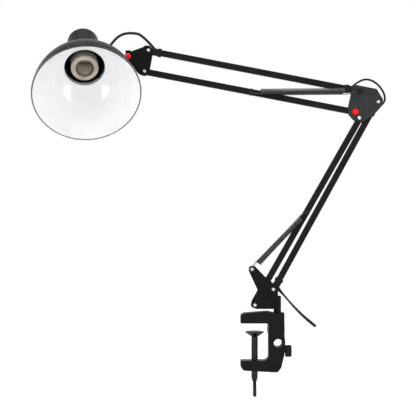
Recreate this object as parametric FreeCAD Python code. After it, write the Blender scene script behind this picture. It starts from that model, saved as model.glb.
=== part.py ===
"""Clamp-on desk lamp with two parallel-bar arms, a tilting head and a bowl shade.

Millimetres. X runs to the right along the arms, Y away from the viewer, Z up. The lamp is drawn
round the axis of its swivel post, with Z = 0 at the underside of the upper jaw, which is the top
of the desk that the clamp grips. The exported origin is the middle of that underside, ORIGIN_X
from the post's axis. The arms lie in the plane Y = 0.
"""
import FreeCAD, Part
import math
import os

V = FreeCAD.Vector

ORIGIN_X = -40.0            # the exported origin, as drawn

# Square tubes of both arms
TUBE = 10.0
TUBE_WALL = 1.0
TUBE_CORNER = 1.4
ARM_LENGTH = 348.0          # from pivot to pivot
SLEEVE_WALL = 0.8           # moulded sleeve over the tubes that carry the lead
SLEEVE_LIP = 1.0
LIP_LENGTH = 5.0
SLEEVE_AT_BASE = 20.0       # how far the sleeves reach from their pivots
SLEEVE_AT_ELBOW_LOW = 24.0
SLEEVE_AT_ELBOW_HIGH = 25.0
SLEEVE_AT_HEAD = 21.0
LEAD_HOLE = 5.6             # diameter of the holes where the lead enters and leaves a tube

# Plates that hold the tube ends between them
PLATE_GAP = 12.2            # between the inner faces of a pair of plates
PLATE = 1.5
WASHER = 1.0
WASHER_DIAMETER = 8.4

# Pivots
PIN_DIAMETER = 4.0
PIN_FIT = 0.05              # running clearance on the radius
HEAD_DIAMETER = 7.2         # of the rivets
HEAD_HEIGHT = 1.7
CAP_DIAMETER = 10.2         # red and black domed caps
CAP_HEIGHT = 4.2
CAP_SEAT = 1.2
DOME_FLAT = 0.5             # radius of the flat on top of a dome
EYELET_DIAMETER = 7.6       # the hollow rivet of the elbow
EYELET_BORE = 6.6
EYELET_FLANGE = 1.4
EYELET_FLANGE_THICK = 0.9
OPEN_PIVOT_ROOM = 0.3       # round the pins of the two pivots that close a loop of bars

# Lower arm: B1 and B2 at the base, E1 and E2 at the elbow
B1 = (-6.8, 55.0)
BASE_SPACING = 39.2
BASE_SPACING_ANGLE = 40.35
LOWER_ANGLE = 60.8
SPLAY = 1.3                 # the holes sit this far off the centre line of the lower tubes

# Upper arm: A1 and A2 at the elbow, H1 and H2 at the head
A1_FROM_E1 = (-30.4, 17.9)
UPPER_SPACING = 34.6
UPPER_SPACING_ANGLE = 79.3
UPPER_ANGLE = 169.14

# Springs
SPRING_DIAMETER = 9.5
SPRING_WIRE = 2.0
SPRING_CURLS = 22
SPRING_Y = 13.2             # distance of a spring's axis from the plane of the arms
SPRING_AT = 172.0           # of the spring pin along its tube
SPRING_HOOK_LOWER = 14.0    # bare wire between the stud and the first curl
SPRING_HOOK_UPPER = 15.0
STUD_FROM_B2 = (-5.1, 58.5)
REAR_STUD_SHIFT = (3.0, -3.0)
STUD_FLANGE = 8.6
STUD_FLANGE_THICK = 1.4
STUD_PAST_SPRING = 3.0

# Clamp
SPINE_LEFT = -15.0
SPINE_RIGHT = 11.0
CLAMP_DEPTH = 26.0
JAW_TIP = -60.0
UPPER_JAW_TIP_TOP = 13.0
UPPER_JAW_TOP = 17.2
UPPER_JAW_HUMP = 19.4
JAW_OPENING = 60.3          # between the jaws
LOWER_JAW = 17.0
SOCKET_FIT = 0.08           # between the post and its socket, on the radius
SOCKET_DEPTH = 52.0         # below the top of the clamp
CROSS_HOLE = 13.8
CROSS_HOLE_Z = -31.9
SCREW_X = -37.0
SCREW_DIAMETER = 10.4
SCREW_FIT = 0.1
SCREW_BOTTOM = -94.5
SCREW_TAPER = 6.5
SCREW_TIP_DIAMETER = 7.4
PAD_TOP = -13.8
PAD_DIAMETER = 30.0
PAD_HEIGHT = 7.8
PAD_RIM = 1.6
PAD_DISH = 1.6
BALL_DIAMETER = 7.0
BALL_FIT = 0.3
PADDLE_THICK = 5.0
PADDLE_WIDTH = 30.0
PADDLE_BOTTOM = -121.0
KNOB_Z = -45.5
KNOB_DIAMETER = 19.4
KNOB_LENGTH = 10.0
KNOB_GROOVES = 20
KNOB_GROOVE = 1.4
KNOB_STANDOFF = 0.4
LOCK_SCREW_DIAMETER = 6.0
LOCK_SCREW_TIP_X = -1.0

# Post
POST_DIAMETER = PLATE_GAP
POST_TOP = 44.2
POST_TIP_Z = -26.0
POST_TIP = 5.0

# Head: the shade's mouth, the direction from the mouth to the back, and the tilt pivot
MOUTH = V(-303.3, -70.0, 365.0)
HEAD_AXIS = V(-0.115, 0.80, 0.589)
TILT_FROM_H1 = (-33.4, -10.0)
SHADE_RADIUS = 86.0
SHADE_SHEET = 1.0
SHADE_BELLY = (45.0, 74.0)  # distance from the mouth, radius
SHADE_NECK = (84.0, 34.0)
SHADE_LIP = 3.0
COLLAR_RADIUS = 36.0
COLLAR_FROM = 88.0
COLLAR_TO = 95.0
HOUSING_RADIUS = 31.0
HOUSING_WALL = 1.6
HOUSING_TO = 126.0
CAP_TO = 178.0
CAP_RADIUS = 26.0
CAP_WALL = 1.4
VENT_COUNT = 12
VENT_DIAMETER = 5.0
SOCKET_FRONT = 81.0
SOCKET_RADIUS = 22.5
SOCKET_BORE = 15.6
SOCKET_SKIRT = 20.0
SOCKET_BODY_RADIUS = 18.5
SOCKET_LENGTH = 46.0
SHELL_RADIUS = 13.6
SHELL_WALL = 0.5
SHELL_DEPTH = 30.0
CONTACT_RADIUS = 5.0
BRIDGE = 2.0
BRIDGE_WIDTH = 14.0
BRIDGE_FIT = 0.1
STEM_DIAMETER = 8.0
STEM_BORE_FIT = 0.06
BUSH_WALL = 3.0
BUSH_LENGTH = 8.0           # outside the neck of the shade
STEM_END_GAP = 0.6
STEM_FLANGE = 2.0           # wider than the stem
STEM_FLANGE_THICK = 2.5
STEM_FLANGE_GAP = 0.3
BARREL_DIAMETER = 10.0
BARREL_END_GAP = 0.3
NUT_WIDTH = 8.4
NUT_HEIGHT = 4.4
NUT_AT = 6.0                # above the tilt pivot
BUTTON_DIAMETER = 9.0
BUTTON_PROUD = 6.0
BUTTON_TRAVEL = 2.5
BUTTON_FIT = 0.3
GLAND_AT = 101.5            # along the head axis
GLAND_TURN = 7.0            # round the head axis, from the stem
GLAND_LENGTH = 21.0
GLAND_RADIUS = 5.0
GLAND_TIP_RADIUS = 3.4
GLAND_SUNK = 3.0

# Lead: a flat twin cord, 5.2 by 3.2. Its solids are round.
CORD = 5.2
LOOP_CORD = 4.4             # the two short loops and the lengths inside the tubes
INNER_LEAD = 4.0
HANK_LOOPS = 8
HANK_PITCH = 5.7
HANK_FOLD = 10.4            # radius of the folds
HANK_RUN = 52.0             # straight length between the folds
HANK_FRONT = V(-1.3, 17.4, -26.0)
HANK_LEAN = V(0.056, 1.0, -0.085)   # so that the clamp hides it from the front
TIE_WIDTH = 9.0
TIE_THICK = 1.2
TIE_GAP = 0.3
TIE_ABOVE_MIDDLE = 15.0
PLUG_LENGTH = 24.0
PLUG_WIDTH = 20.0
PLUG_THICK = 11.0
PLUG_RELIEF = 20.0
PLUG_WAY = V(0.04, 1.0, -0.125)
BLADE_WIDTH = 6.3
BLADE_THICK = 1.5
BLADE_LENGTH = 17.0
BLADE_SPACING = 12.7

# Where the lead crosses the wall of a tube: the distance of its point on the tube's centre line
# from the nearer pivot
LEAD_AT_BASE = 9.1
LEAD_AT_ELBOW_LOW = 20.0
LEAD_AT_ELBOW_HIGH = 16.4
LEAD_AT_HEAD = 15.0
LEAD_FACE = 4.5             # from the centre line to where the inner lead ends in the wall

# Points of the free lengths of lead, chosen by hand
HEAD_LOOP = [V(-264.5, 8, 462.5), V(-252.5, 6.5, 470.6), V(-236.5, 5, 472.3), V(-219.5, 3, 468.9)]
ELBOW_LOOP = [V(134.6, 0, 395.2), V(151.0, 0, 396.2), V(165.5, 0, 386.4), V(175.2, 0, 370.6),
              V(174.3, 0, 356.2)]
SUPPLY = [V(9.2, 0, 46.6), V(24.3, 0, 29.3), V(40.3, 0, 12.6), V(54.2, 0, 0.9), V(62.1, 10.2, -5.7),
          V(64.0, 24.7, -8.0), V(57.1, 35, -2.4), V(42.7, 36, 9.9), V(26.5, 37, 26.7), V(11.3, 39, 44.3),
          V(-3.0, 43, 56.5), V(-15.0, 49, 55.5), V(-19.5, 56, 43.0), V(-12.5, 62, 30.5), V(0.5, 65, 19.5)]
TAIL = [V(-16.0, 18.4, -66.0), V(-30.0, 30.0, -70.0)]
PLUG_AT = V(-34.0, 46.0, -72.6)


# ---------------------------------------------------------------- places worked out from the above

def polar(length, degrees):
    return length * math.cos(math.radians(degrees)), length * math.sin(math.radians(degrees))


def shifted(point, step):
    return point[0] + step[0], point[1] + step[1]


def back(point, step):
    return point[0] - step[0], point[1] - step[1]


B2 = back(B1, polar(BASE_SPACING, BASE_SPACING_ANGLE))
E1 = shifted(B1, polar(ARM_LENGTH, LOWER_ANGLE))
E2 = shifted(B2, polar(ARM_LENGTH, LOWER_ANGLE))
A1 = shifted(E1, A1_FROM_E1)
A2 = back(A1, polar(UPPER_SPACING, UPPER_SPACING_ANGLE))
H1 = shifted(A1, polar(ARM_LENGTH, UPPER_ANGLE))
H2 = shifted(A2, polar(ARM_LENGTH, UPPER_ANGLE))
TILT = shifted(H1, TILT_FROM_H1)
LOWER_SPRING_PIN = shifted(B2, polar(SPRING_AT, LOWER_ANGLE))
UPPER_SPRING_PIN = shifted(A2, polar(SPRING_AT, UPPER_ANGLE))
FRONT_STUD = shifted(B2, STUD_FROM_B2)
REAR_STUD = shifted(FRONT_STUD, REAR_STUD_SHIFT)
PLATE_IN = PLATE_GAP / 2
PLATE_OUT = PLATE_IN + PLATE
PIN_R = PIN_DIAMETER / 2
HOLE_R = PIN_R + PIN_FIT
EYELET_R = EYELET_DIAMETER / 2
PAD_BOTTOM = PAD_TOP - PAD_HEIGHT

HEAD_AXIS.normalize()
TILT_POINT = V(TILT[0], 0, TILT[1])
STEM_AT = (TILT_POINT - MOUTH).dot(HEAD_AXIS)
STEM_FOOT = MOUTH + HEAD_AXIS * STEM_AT
STEM_OUT = TILT_POINT - STEM_FOOT
STEM_LENGTH = STEM_OUT.Length
STEM_OUT.normalize()


# ---------------------------------------------------------------- shapes

def placed(shape, base, z_axis, x_axis):
    """Puts a shape made round local Z at base, with local Z and X along the two axes."""
    z = V(z_axis).normalize()
    x = V(x_axis)
    x = (x - z * x.dot(z)).normalize()
    y = z.cross(x)
    frame = FreeCAD.Matrix(x.x, y.x, z.x, base.x, x.y, y.y, z.y, base.y, x.z, y.z, z.z, base.z, 0, 0, 0, 1)
    copy = shape.copy()
    copy.Placement = FreeCAD.Placement(frame).multiply(copy.Placement)
    return copy


def rounded_wire(corners, y):
    """A closed outline in the plane Y = y. Each corner is x, z and its radius."""
    n = len(corners)
    ends, arcs = [], []
    for i in range(n):
        x, z, r = corners[i]
        p = V(x, y, z)
        a = (V(corners[i - 1][0], y, corners[i - 1][1]) - p).normalize()
        b = (V(corners[(i + 1) % n][0], y, corners[(i + 1) % n][1]) - p).normalize()
        if r <= 0:
            ends.append((p, p))
            arcs.append(None)
            continue
        half = a.getAngle(b) / 2
        reach = r / math.tan(half)
        middle = (a + b).normalize()
        centre = p + middle * (r / math.sin(half))
        ends.append((p + a * reach, p + b * reach))
        arcs.append(Part.Arc(p + a * reach, centre - middle * r, p + b * reach).toShape())
    edges = []
    for i in range(n):
        if arcs[i]:
            edges.append(arcs[i])
        edges.append(Part.LineSegment(ends[i][1], ends[(i + 1) % n][0]).toShape())
    return Part.Wire(edges)


def prism(corners, y0, y1):
    return Part.Face(rounded_wire(corners, y0)).extrude(V(0, y1 - y0, 0))


def disc(point, radius, y0, y1):
    """A cylinder along Y through a point of the plane of the arms."""
    return Part.makeCylinder(radius, y1 - y0, V(point[0], y0, point[1]), V(0, 1, 0))


def turned(profile):
    """Turns a closed profile of (radius, height) round Z. A triple is the middle of an arc and its end."""
    edges = []
    first = last = V(profile[0][0], 0, profile[0][1])
    for item in profile[1:]:
        if len(item) == 4:
            here = V(item[2], 0, item[3])
            edges.append(Part.Arc(last, V(item[0], 0, item[1]), here).toShape())
        else:
            here = V(item[0], 0, item[1])
            edges.append(Part.LineSegment(last, here).toShape())
        last = here
    edges.append(Part.LineSegment(last, first).toShape())
    return Part.Face(Part.Wire(edges)).revolve(V(0, 0, 0), V(0, 0, 1), 360)


def dome(radius, height, skirt):
    """A cap with a straight skirt and a round top that ends in a small flat."""
    return turned([(0, 0), (radius, 0), (radius, skirt),
                   (radius * 0.74, skirt + (height - skirt) * 0.72, DOME_FLAT, height), (0, height)])


def on_plate(shape, point, side):
    """Puts a shape made on Z = 0 on the outer face of the front (-1) or rear (+1) plate."""
    return placed(shape, V(point[0], side * PLATE_OUT, point[1]), V(0, side, 0), V(1, 0, 0))


def rivet(point):
    """A pin through both plates with a domed head on each."""
    pin = disc(point, PIN_R, -PLATE_OUT, PLATE_OUT)
    for side in (-1, 1):
        pin = pin.fuse(on_plate(dome(HEAD_DIAMETER / 2, HEAD_HEIGHT, 0.4), point, side))
    return pin


def square_tube(near, far, near_off=0.0, far_off=0.0, far_hole=HOLE_R, ports=(), pins=()):
    """A hollow square tube between two pivots with round ends, its axis off the pivots by the offsets.

    far_hole is the radius of the hole at the far pivot. ports are the holes for the lead. pins are
    more cross holes along the line of the pivots, for pins that are fixed in the tube.
    """
    length = math.hypot(far[0] - near[0], far[1] - near[1])
    angle = math.degrees(math.atan2(far[1] - near[1], far[0] - near[0]))
    lean = math.degrees(math.atan2(far_off - near_off, length))
    half, bore = TUBE / 2, TUBE / 2 - TUBE_WALL
    run = length + TUBE
    body = Part.makeBox(run, TUBE, TUBE, V(-half, -half, -half))
    along = [e for e in body.Edges if abs(e.tangentAt(e.FirstParameter).x) > 0.9]
    body = body.makeFillet(TUBE_CORNER, along)
    body = body.cut(Part.makeBox(run + 2, 2 * bore, 2 * bore, V(-half - 1, -bore, -bore)))
    ends = prism([(-half, -half, half * 0.98), (length + half, -half, half * 0.98),
                  (length + half, half, half * 0.98), (-half, half, half * 0.98)], -half - 1, half + 1)
    body = body.common(ends)
    body.rotate(V(0, 0, 0), V(0, 1, 0), -lean)
    body.translate(V(0, 0, near_off))
    for at, radius in [(0, HOLE_R), (length, far_hole)] + [(at, PIN_R) for at in pins]:
        body = body.cut(disc((at, 0), radius, -TUBE, TUBE))
    body = on_bar(body, near, angle)
    for port in ports:
        body = body.cut(port_cut(port))
    return body


def on_bar(shape, near, angle):
    """From a bar's own frame, X along it from the near pivot, to the lamp's frame."""
    copy = shape.copy()
    copy.rotate(V(0, 0, 0), V(0, 1, 0), -angle)
    copy.translate(V(near[0], 0, near[1]))
    return copy


def bar_point(near, angle, along, off=0.0):
    """A point of a bar's own frame in the plane of the arms."""
    c, s = math.cos(math.radians(angle)), math.sin(math.radians(angle))
    return near[0] + along * c - off * s, near[1] + along * s + off * c


def sleeve(start, end, near_off, far_off, pivot, lip_at, lip_above):
    """A moulded sleeve on a tube from start to end along it, with a lip on its under side.

    lip_above is how far the lip rises over the upper side, where there is room for it. The lip is
    no wider than the sleeve, so that it passes between the plates.
    """
    lean = math.degrees(math.atan2(far_off - near_off, ARM_LENGTH))
    outer = TUBE / 2 + SLEEVE_WALL
    low, high = outer + SLEEVE_LIP, outer + lip_above
    body = Part.makeBox(end - start, 2 * outer, 2 * outer, V(start, -outer, -outer))
    edges = [e for e in body.Edges if abs(e.tangentAt(e.FirstParameter).x) > 0.9]
    body = body.makeFillet(TUBE_CORNER + SLEEVE_WALL, edges)
    ring = Part.makeBox(LIP_LENGTH, 2 * outer, low + high, V(lip_at, -outer, -low))
    edges = [e for e in ring.Edges if abs(e.tangentAt(e.FirstParameter).x) > 0.9]
    body = body.fuse(ring.makeFillet(TUBE_CORNER + SLEEVE_WALL, edges)).removeSplitter()
    inside = Part.makeBox(end - start + 2, TUBE, TUBE, V(start - 1, -TUBE / 2, -TUBE / 2))
    edges = [e for e in inside.Edges if abs(e.tangentAt(e.FirstParameter).x) > 0.9]
    body = body.cut(inside.makeFillet(TUBE_CORNER, edges))
    body.rotate(V(0, 0, 0), V(0, 1, 0), -lean)
    body.translate(V(0, 0, near_off))
    return body.cut(disc((pivot, 0), HOLE_R, -TUBE, TUBE))


# ---------------------------------------------------------------- cords and springs

def arc_edge(start, tangent, end):
    """The arc that leaves start along tangent and ends at end."""
    chord = end - start
    along = V(chord).normalize()
    aside = tangent - along * tangent.dot(along)
    if aside.Length < 1e-7:
        return Part.LineSegment(start, end).toShape()
    aside.normalize()
    half = math.acos(max(-1.0, min(1.0, tangent.dot(along)))) / 2
    middle = start + chord * 0.5 + aside * (chord.Length / 2 * math.tan(half))
    return Part.Arc(start, middle, end).toShape()


def biarc(p0, t0, p1, t1):
    """Two arcs that join two points with the tangents given there."""
    v = p1 - p0
    t = t0 + t1
    a = 2 * (1 - t0.dot(t1))
    b = 2 * v.dot(t)
    c = -v.dot(v)
    d = -c / b if a < 1e-9 else (-b + math.sqrt(b * b - 4 * a * c)) / (2 * a)
    middle = (p0 + p1 + (t0 - t1) * d) * 0.5
    m_tangent = (middle - p0 - t0 * d).normalize()
    return [arc_edge(p0, t0, middle), arc_edge(middle, m_tangent, p1)]


def chain(stations):
    """Edges through stations of (point, unit tangent), joined by biarcs or a straight line."""
    edges = []
    for (p0, t0), (p1, t1) in zip(stations, stations[1:]):
        along = (p1 - p0).normalize()
        if along.dot(t0) > 1 - 1e-9 and along.dot(t1) > 1 - 1e-9:
            edges.append(Part.LineSegment(p0, p1).toShape())
        else:
            edges += biarc(p0, t0, p1, t1)
    return edges


def swept(edges, diameter, name):
    """A round tube along edges that join end to end. Prints how its volume agrees with its length."""
    wire = Part.Wire(edges)
    start = edges[0].valueAt(edges[0].FirstParameter)
    tangent = edges[0].tangentAt(edges[0].FirstParameter)
    ring = Part.Wire(Part.Circle(start, tangent, diameter / 2).toShape())
    tube = wire.makePipeShell([ring], True, False)
    if tube.Volume < 0:
        tube.reverse()
    share = tube.Volume / (math.pi * diameter ** 2 / 4 * wire.Length)
    print(f"{name}: length {wire.Length:.1f}, share of its volume {share:.4f}, valid {tube.isValid()}")
    return tube


def route_edges(points, name):
    """Straight runs joined by tangent arcs, each as large as its two runs allow."""
    edges, radii = [], []
    here = points[0]
    for before, p, after in zip(points, points[1:], points[2:]):
        a, b = before - p, after - p
        shorter = min(a.Length, b.Length)
        a.normalize()
        b.normalize()
        turn = math.pi - a.getAngle(b)
        reach = 0.45 * shorter
        radii.append(reach / math.tan(turn / 2))
        start, end = p + a * reach, p + b * reach
        edges.append(Part.LineSegment(here, start).toShape())
        edges.append(arc_edge(start, a * -1, end))
        here = end
    edges.append(Part.LineSegment(here, points[-1]).toShape())
    print(f"{name}: radii " + " ".join(f"{r:.0f}" for r in radii))
    return edges


def least_gap(edges, diameter, apart):
    """The least gap of a wound tube to itself, between points further along it than apart."""
    points, at = [], 0.0
    for edge in edges:
        steps = max(2, int(edge.Length / 1.5))
        for p in edge.discretize(steps + 1)[:-1]:
            points.append((at, p))
            at += edge.Length / steps
    least = 1e9
    for i, (s, p) in enumerate(points):
        for r, q in points[i + 1:]:
            if r - s > apart and (p - q).Length < least:
                least = (p - q).Length
    return least - diameter


def spring(start, end, y, hook_start, hook_end, name):
    """A close helical spring with a bare wire and a hook at each end, as one unbroken tube."""
    p0, p1 = V(start[0], y, start[1]), V(end[0], y, end[1])
    u = (p1 - p0).normalize()
    w = V(0, 1, 0)
    v = w.cross(u)
    radius = (SPRING_DIAMETER - SPRING_WIRE) / 2
    hook = PIN_R + SPRING_WIRE / 2 + 0.15
    length = (p1 - p0).Length - hook_start - hook_end
    pitch = length / SPRING_CURLS
    slope = pitch / (2 * math.pi * radius)
    stations = [(p0 + v * hook, u * -1), (p0 - v * hook, u)]
    for half_turn in range(2 * SPRING_CURLS + 1):
        angle = math.pi * half_turn
        out = v * -math.cos(angle) + w * math.sin(angle)
        turn = (v * math.sin(angle) + w * math.cos(angle)) + u * slope
        at = p0 + u * (hook_start + pitch * half_turn / 2) + out * radius
        stations.append((at, turn.normalize()))
    stations += [(p1 - v * hook, u), (p1 + v * hook, u * -1)]
    edges = chain(stations)
    print(f"{name}: least gap {least_gap(edges[6:14], SPRING_WIRE, math.pi * radius * 1.5):.2f}")
    return swept(edges, SPRING_WIRE, name)


# ---------------------------------------------------------------- clamp

def clamp_frame():
    half = CLAMP_DEPTH / 2
    lower_top = -JAW_OPENING
    lower_bottom = lower_top - LOWER_JAW
    outline = [
        (JAW_TIP, 0, 1.5), (JAW_TIP, UPPER_JAW_TIP_TOP, 3), (JAW_TIP + 5, UPPER_JAW_TIP_TOP + 3.4, 2),
        (SPINE_LEFT - 1, UPPER_JAW_HUMP, 10), (SPINE_LEFT + 7.8, UPPER_JAW_TOP, 4),
        (SPINE_RIGHT, UPPER_JAW_TOP, 1.2), (SPINE_RIGHT, -18, 20), (SPINE_RIGHT + 1.4, -30, 12),
        (SPINE_RIGHT, lower_top + 10, 14), (SPINE_RIGHT - 5, lower_bottom + 6, 6),
        (SPINE_RIGHT - 11, lower_bottom - 2, 5), (JAW_TIP + 5, lower_bottom + 1, 4),
        (JAW_TIP, lower_bottom + 7, 4), (JAW_TIP, lower_top, 1.2),
        (SPINE_LEFT, lower_top, 8), (SPINE_LEFT, 0, 4),
    ]
    body = prism(outline, -half, half)
    outer = [e for e in body.Edges if on_outline(e, half)]
    body = body.makeFillet(1.6, outer)
    bore = POST_DIAMETER / 2 + SOCKET_FIT
    body = body.cut(Part.makeCylinder(bore, SOCKET_DEPTH, V(0, 0, UPPER_JAW_TOP - SOCKET_DEPTH + 0.01)))
    body = body.cut(disc((0.6, CROSS_HOLE_Z), CROSS_HOLE / 2, -half - 1, half + 1))
    body = body.cut(Part.makeCylinder(SCREW_DIAMETER / 2 + SCREW_FIT, LOWER_JAW + 8,
                                      V(SCREW_X, 0, lower_bottom - 4)))
    return body.cut(Part.makeCylinder(LOCK_SCREW_DIAMETER / 2, SPINE_RIGHT + 4 - LOCK_SCREW_TIP_X,
                                      V(LOCK_SCREW_TIP_X, 0, KNOB_Z), V(1, 0, 0)))


def on_outline(edge, half):
    """Whether an edge lies on the front or rear face of the clamp."""
    ys = [v.Point.y for v in edge.Vertexes]
    return all(abs(abs(y) - half) < 1e-6 for y in ys) and max(ys) - min(ys) < 1e-6


def lock_knob():
    body = Part.makeCylinder(KNOB_DIAMETER / 2, KNOB_LENGTH)
    body = body.makeChamfer(0.8, [e for e in body.Edges if len(e.Vertexes) == 1])
    for i in range(KNOB_GROOVES):
        x, y = polar(KNOB_DIAMETER / 2 + 0.35, 360 / KNOB_GROOVES * i)
        body = body.cut(Part.makeCylinder(KNOB_GROOVE / 2, KNOB_LENGTH + 2, V(x, y, -1)))
    body = body.cut(Part.makeCylinder(LOCK_SCREW_DIAMETER / 2, KNOB_LENGTH - 3))
    return placed(body, V(SPINE_RIGHT + 1.4 + KNOB_STANDOFF, 0, KNOB_Z), V(1, 0, 0), V(0, 0, 1))


def lock_screw():
    end = SPINE_RIGHT + 1.4 + KNOB_STANDOFF + KNOB_LENGTH - 3
    radius = LOCK_SCREW_DIAMETER / 2 - SOCKET_FIT
    return Part.makeCylinder(radius, end - LOCK_SCREW_TIP_X, V(LOCK_SCREW_TIP_X, 0, KNOB_Z), V(1, 0, 0))


def clamp_screw():
    r = SCREW_DIAMETER / 2
    tip = SCREW_TIP_DIAMETER / 2
    rod = turned([(0, SCREW_BOTTOM), (tip, SCREW_BOTTOM), (r, SCREW_BOTTOM + SCREW_TAPER),
                  (r, PAD_BOTTOM - 0.8), (tip - 1.5, PAD_BOTTOM + 0.2), (0, PAD_BOTTOM + 0.2)])
    ball = Part.makeSphere(BALL_DIAMETER / 2, V(0, 0, PAD_BOTTOM + 2.0))
    neck = Part.makeCylinder(tip - 1.5, 2.0, V(0, 0, PAD_BOTTOM - 0.5))
    rod = rod.fuse([ball, neck]).removeSplitter()
    rod.translate(V(SCREW_X, 0, 0))
    return rod


def clamp_pad():
    """A shallow cone with a dished top, turning freely on the ball of the screw."""
    r = PAD_DIAMETER / 2
    seat = BALL_DIAMETER / 2 + BALL_FIT
    neck = SCREW_TIP_DIAMETER / 2 - 1.5 + BALL_FIT
    body = turned([(0, PAD_BOTTOM), (6.0, PAD_BOTTOM), (r, PAD_TOP - PAD_RIM), (r, PAD_TOP),
                   (r - 2, PAD_TOP), (8.0, PAD_TOP - PAD_DISH), (0, PAD_TOP - PAD_DISH)])
    body = body.cut(Part.makeSphere(seat, V(0, 0, PAD_BOTTOM + 2.0)))
    body = body.cut(Part.makeCylinder(neck, 3.0, V(0, 0, PAD_BOTTOM - 1)))
    body.translate(V(SCREW_X, 0, 0))
    return body


def screw_paddle():
    """The flat handle of the clamp screw, edge on to the viewer, with two rounded wings."""
    top = SCREW_BOTTOM
    half = PADDLE_WIDTH / 2
    outline = [(-4.5, top, 0), (-half, top - 9, 5), (-half, PADDLE_BOTTOM, 6), (-3, PADDLE_BOTTOM + 4, 6),
               (3, PADDLE_BOTTOM + 4, 6), (half, PADDLE_BOTTOM, 6), (half, top - 9, 5), (4.5, top, 0)]
    body = prism(outline, -PADDLE_THICK / 2, PADDLE_THICK / 2)
    body.rotate(V(0, 0, 0), V(0, 0, 1), 90)
    body.translate(V(SCREW_X, 0, 0))
    return body


# ---------------------------------------------------------------- base bracket

def swivel_post():
    r = POST_DIAMETER / 2
    return turned([(0, POST_TIP_Z), (r - POST_TIP + 1.5, POST_TIP_Z), (r, POST_TIP_Z + POST_TIP),
                   (r, POST_TOP - 1), (r - 1, POST_TOP), (0, POST_TOP)])


def bracket_plate(side, stud):
    lug = HEAD_DIAMETER
    corners = [
        (FRONT_STUD[0] - 4.5, FRONT_STUD[1] + 4.5, 4.4), (FRONT_STUD[0] + 5.0, FRONT_STUD[1] + 4.5, 4.4),
        (B1[0] - 12.2, B1[1] + 19.3, 3), (B1[0] + 7.6, B1[1] + 3.4, 3),
        (B1[0] + 7.6, B2[1] - 6.5, 1.5), (B2[0] + 3, B2[1] - 6.5, 4), (B2[0] - lug, B2[1] - 3.0, 4),
        (B2[0] - 4.8, B2[1] + 6.2, 3), (B2[0] + 4.7, B2[1] + 23.4, 3),
        (FRONT_STUD[0] - 4.5, FRONT_STUD[1] - 4, 3),
    ]
    y0, y1 = sorted((side * PLATE_IN, side * PLATE_OUT))
    body = prism(corners, y0, y1)
    for pivot in (B1, B2, stud):
        body = body.cut(disc(pivot, PIN_R, y0 - 1, y1 + 1))
    return body


def spring_stud(stud, side):
    """A flanged stud riveted to one ear of the bracket. The spring hooks on behind its flange."""
    end = SPRING_Y + STUD_PAST_SPRING
    body = disc(stud, PIN_R, PLATE_IN, end)
    body = body.fuse(disc(stud, STUD_FLANGE / 2 - 1.2, PLATE_OUT, PLATE_OUT + 1.2))
    body = body.fuse(disc(stud, STUD_FLANGE / 2, end, end + STUD_FLANGE_THICK))
    if side < 0:
        body.rotate(V(stud[0], 0, stud[1]), V(0, 0, 1), 180)
    return body


def washers(points):
    """Thin washers between a bare tube and the plates."""
    made = []
    for point in points:
        for side in (-1, 1):
            y0, y1 = sorted((side * (PLATE_IN - WASHER), side * PLATE_IN))
            made.append(disc(point, WASHER_DIAMETER / 2, y0, y1).cut(disc(point, PIN_R, y0 - 1, y1 + 1)))
    return made


def spring_pin(point, near, angle):
    """A pin through a tube with a flange outside each spring."""
    end = SPRING_Y + STUD_PAST_SPRING
    body = disc(point, PIN_R, -end, end)
    for side in (-1, 1):
        y0, y1 = sorted((side * end, side * (end + STUD_FLANGE_THICK)))
        body = body.fuse(disc(point, STUD_FLANGE / 2, y0, y1))
        y0, y1 = sorted((side * TUBE / 2, side * (PLATE_OUT + 1.2)))
        body = body.fuse(disc(point, STUD_FLANGE / 2 - 0.6, y0, y1))
    return body


# ---------------------------------------------------------------- elbow

def elbow_plate(side):
    corners = [
        (A1[0] - 10.3, A1[1] + 10.6, 3), (E1[0] - 2.2, E1[1] + 21.0, 3), (E1[0] + 8.4, E1[1] + 3.4, 6),
        (E1[0] + 4.8, E1[1] - 8.4, 5), (E1[0] - 6.0, E1[1] - 20.0, 5), (E2[0] + 3.2, E2[1] - 8.6, 6),
        (A2[0] - 2.0, A2[1] - 13.0, 5), (A2[0] - 11.8, A2[1] - 1.4, 3), (A2[0] - 11.2, A2[1] + 6.5, 3),
        (A1[0] - 12.2, A1[1] - 3.4, 4),
    ]
    y0, y1 = sorted((side * PLATE_IN, side * PLATE_OUT))
    body = prism(corners, y0, y1)
    for pivot in (E1, A1, A2):
        body = body.cut(disc(pivot, PIN_R, y0 - 1, y1 + 1))
    return body.cut(disc(E2, EYELET_R, y0 - 1, y1 + 1))


def elbow_eyelet():
    """The hollow rivet of the elbow. Its tube lies in a wide hole of the lower bar, with room all round."""
    body = disc(E2, EYELET_R, -PLATE_OUT, PLATE_OUT)
    for side in (-1, 1):
        y0, y1 = sorted((side * PLATE_OUT, side * (PLATE_OUT + EYELET_FLANGE_THICK)))
        body = body.fuse(disc(E2, EYELET_R + EYELET_FLANGE, y0, y1))
    return body.cut(disc(E2, EYELET_BORE / 2, -PLATE_OUT - 2, PLATE_OUT + 2))


def pivot_bolts(points, reach):
    """Plain bolts through both plates. Their ends carry the domed caps."""
    return [disc(point, PIN_R, -far, far) for point, far in zip(points, reach)]


def cap_pair(point, from_y):
    """Two domed caps pressed on the ends of a bolt, their skirts starting from_y off the middle plane."""
    made = []
    for side in (-1, 1):
        cap = dome(CAP_DIAMETER / 2, CAP_HEIGHT, CAP_SEAT)
        cap = placed(cap, V(point[0], side * from_y, point[1]), V(0, side, 0), V(1, 0, 0))
        made.append(cap.cut(disc(point, PIN_R, -from_y - CAP_SEAT, from_y + CAP_SEAT)))
    return made


# ---------------------------------------------------------------- head bracket and knuckle

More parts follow.
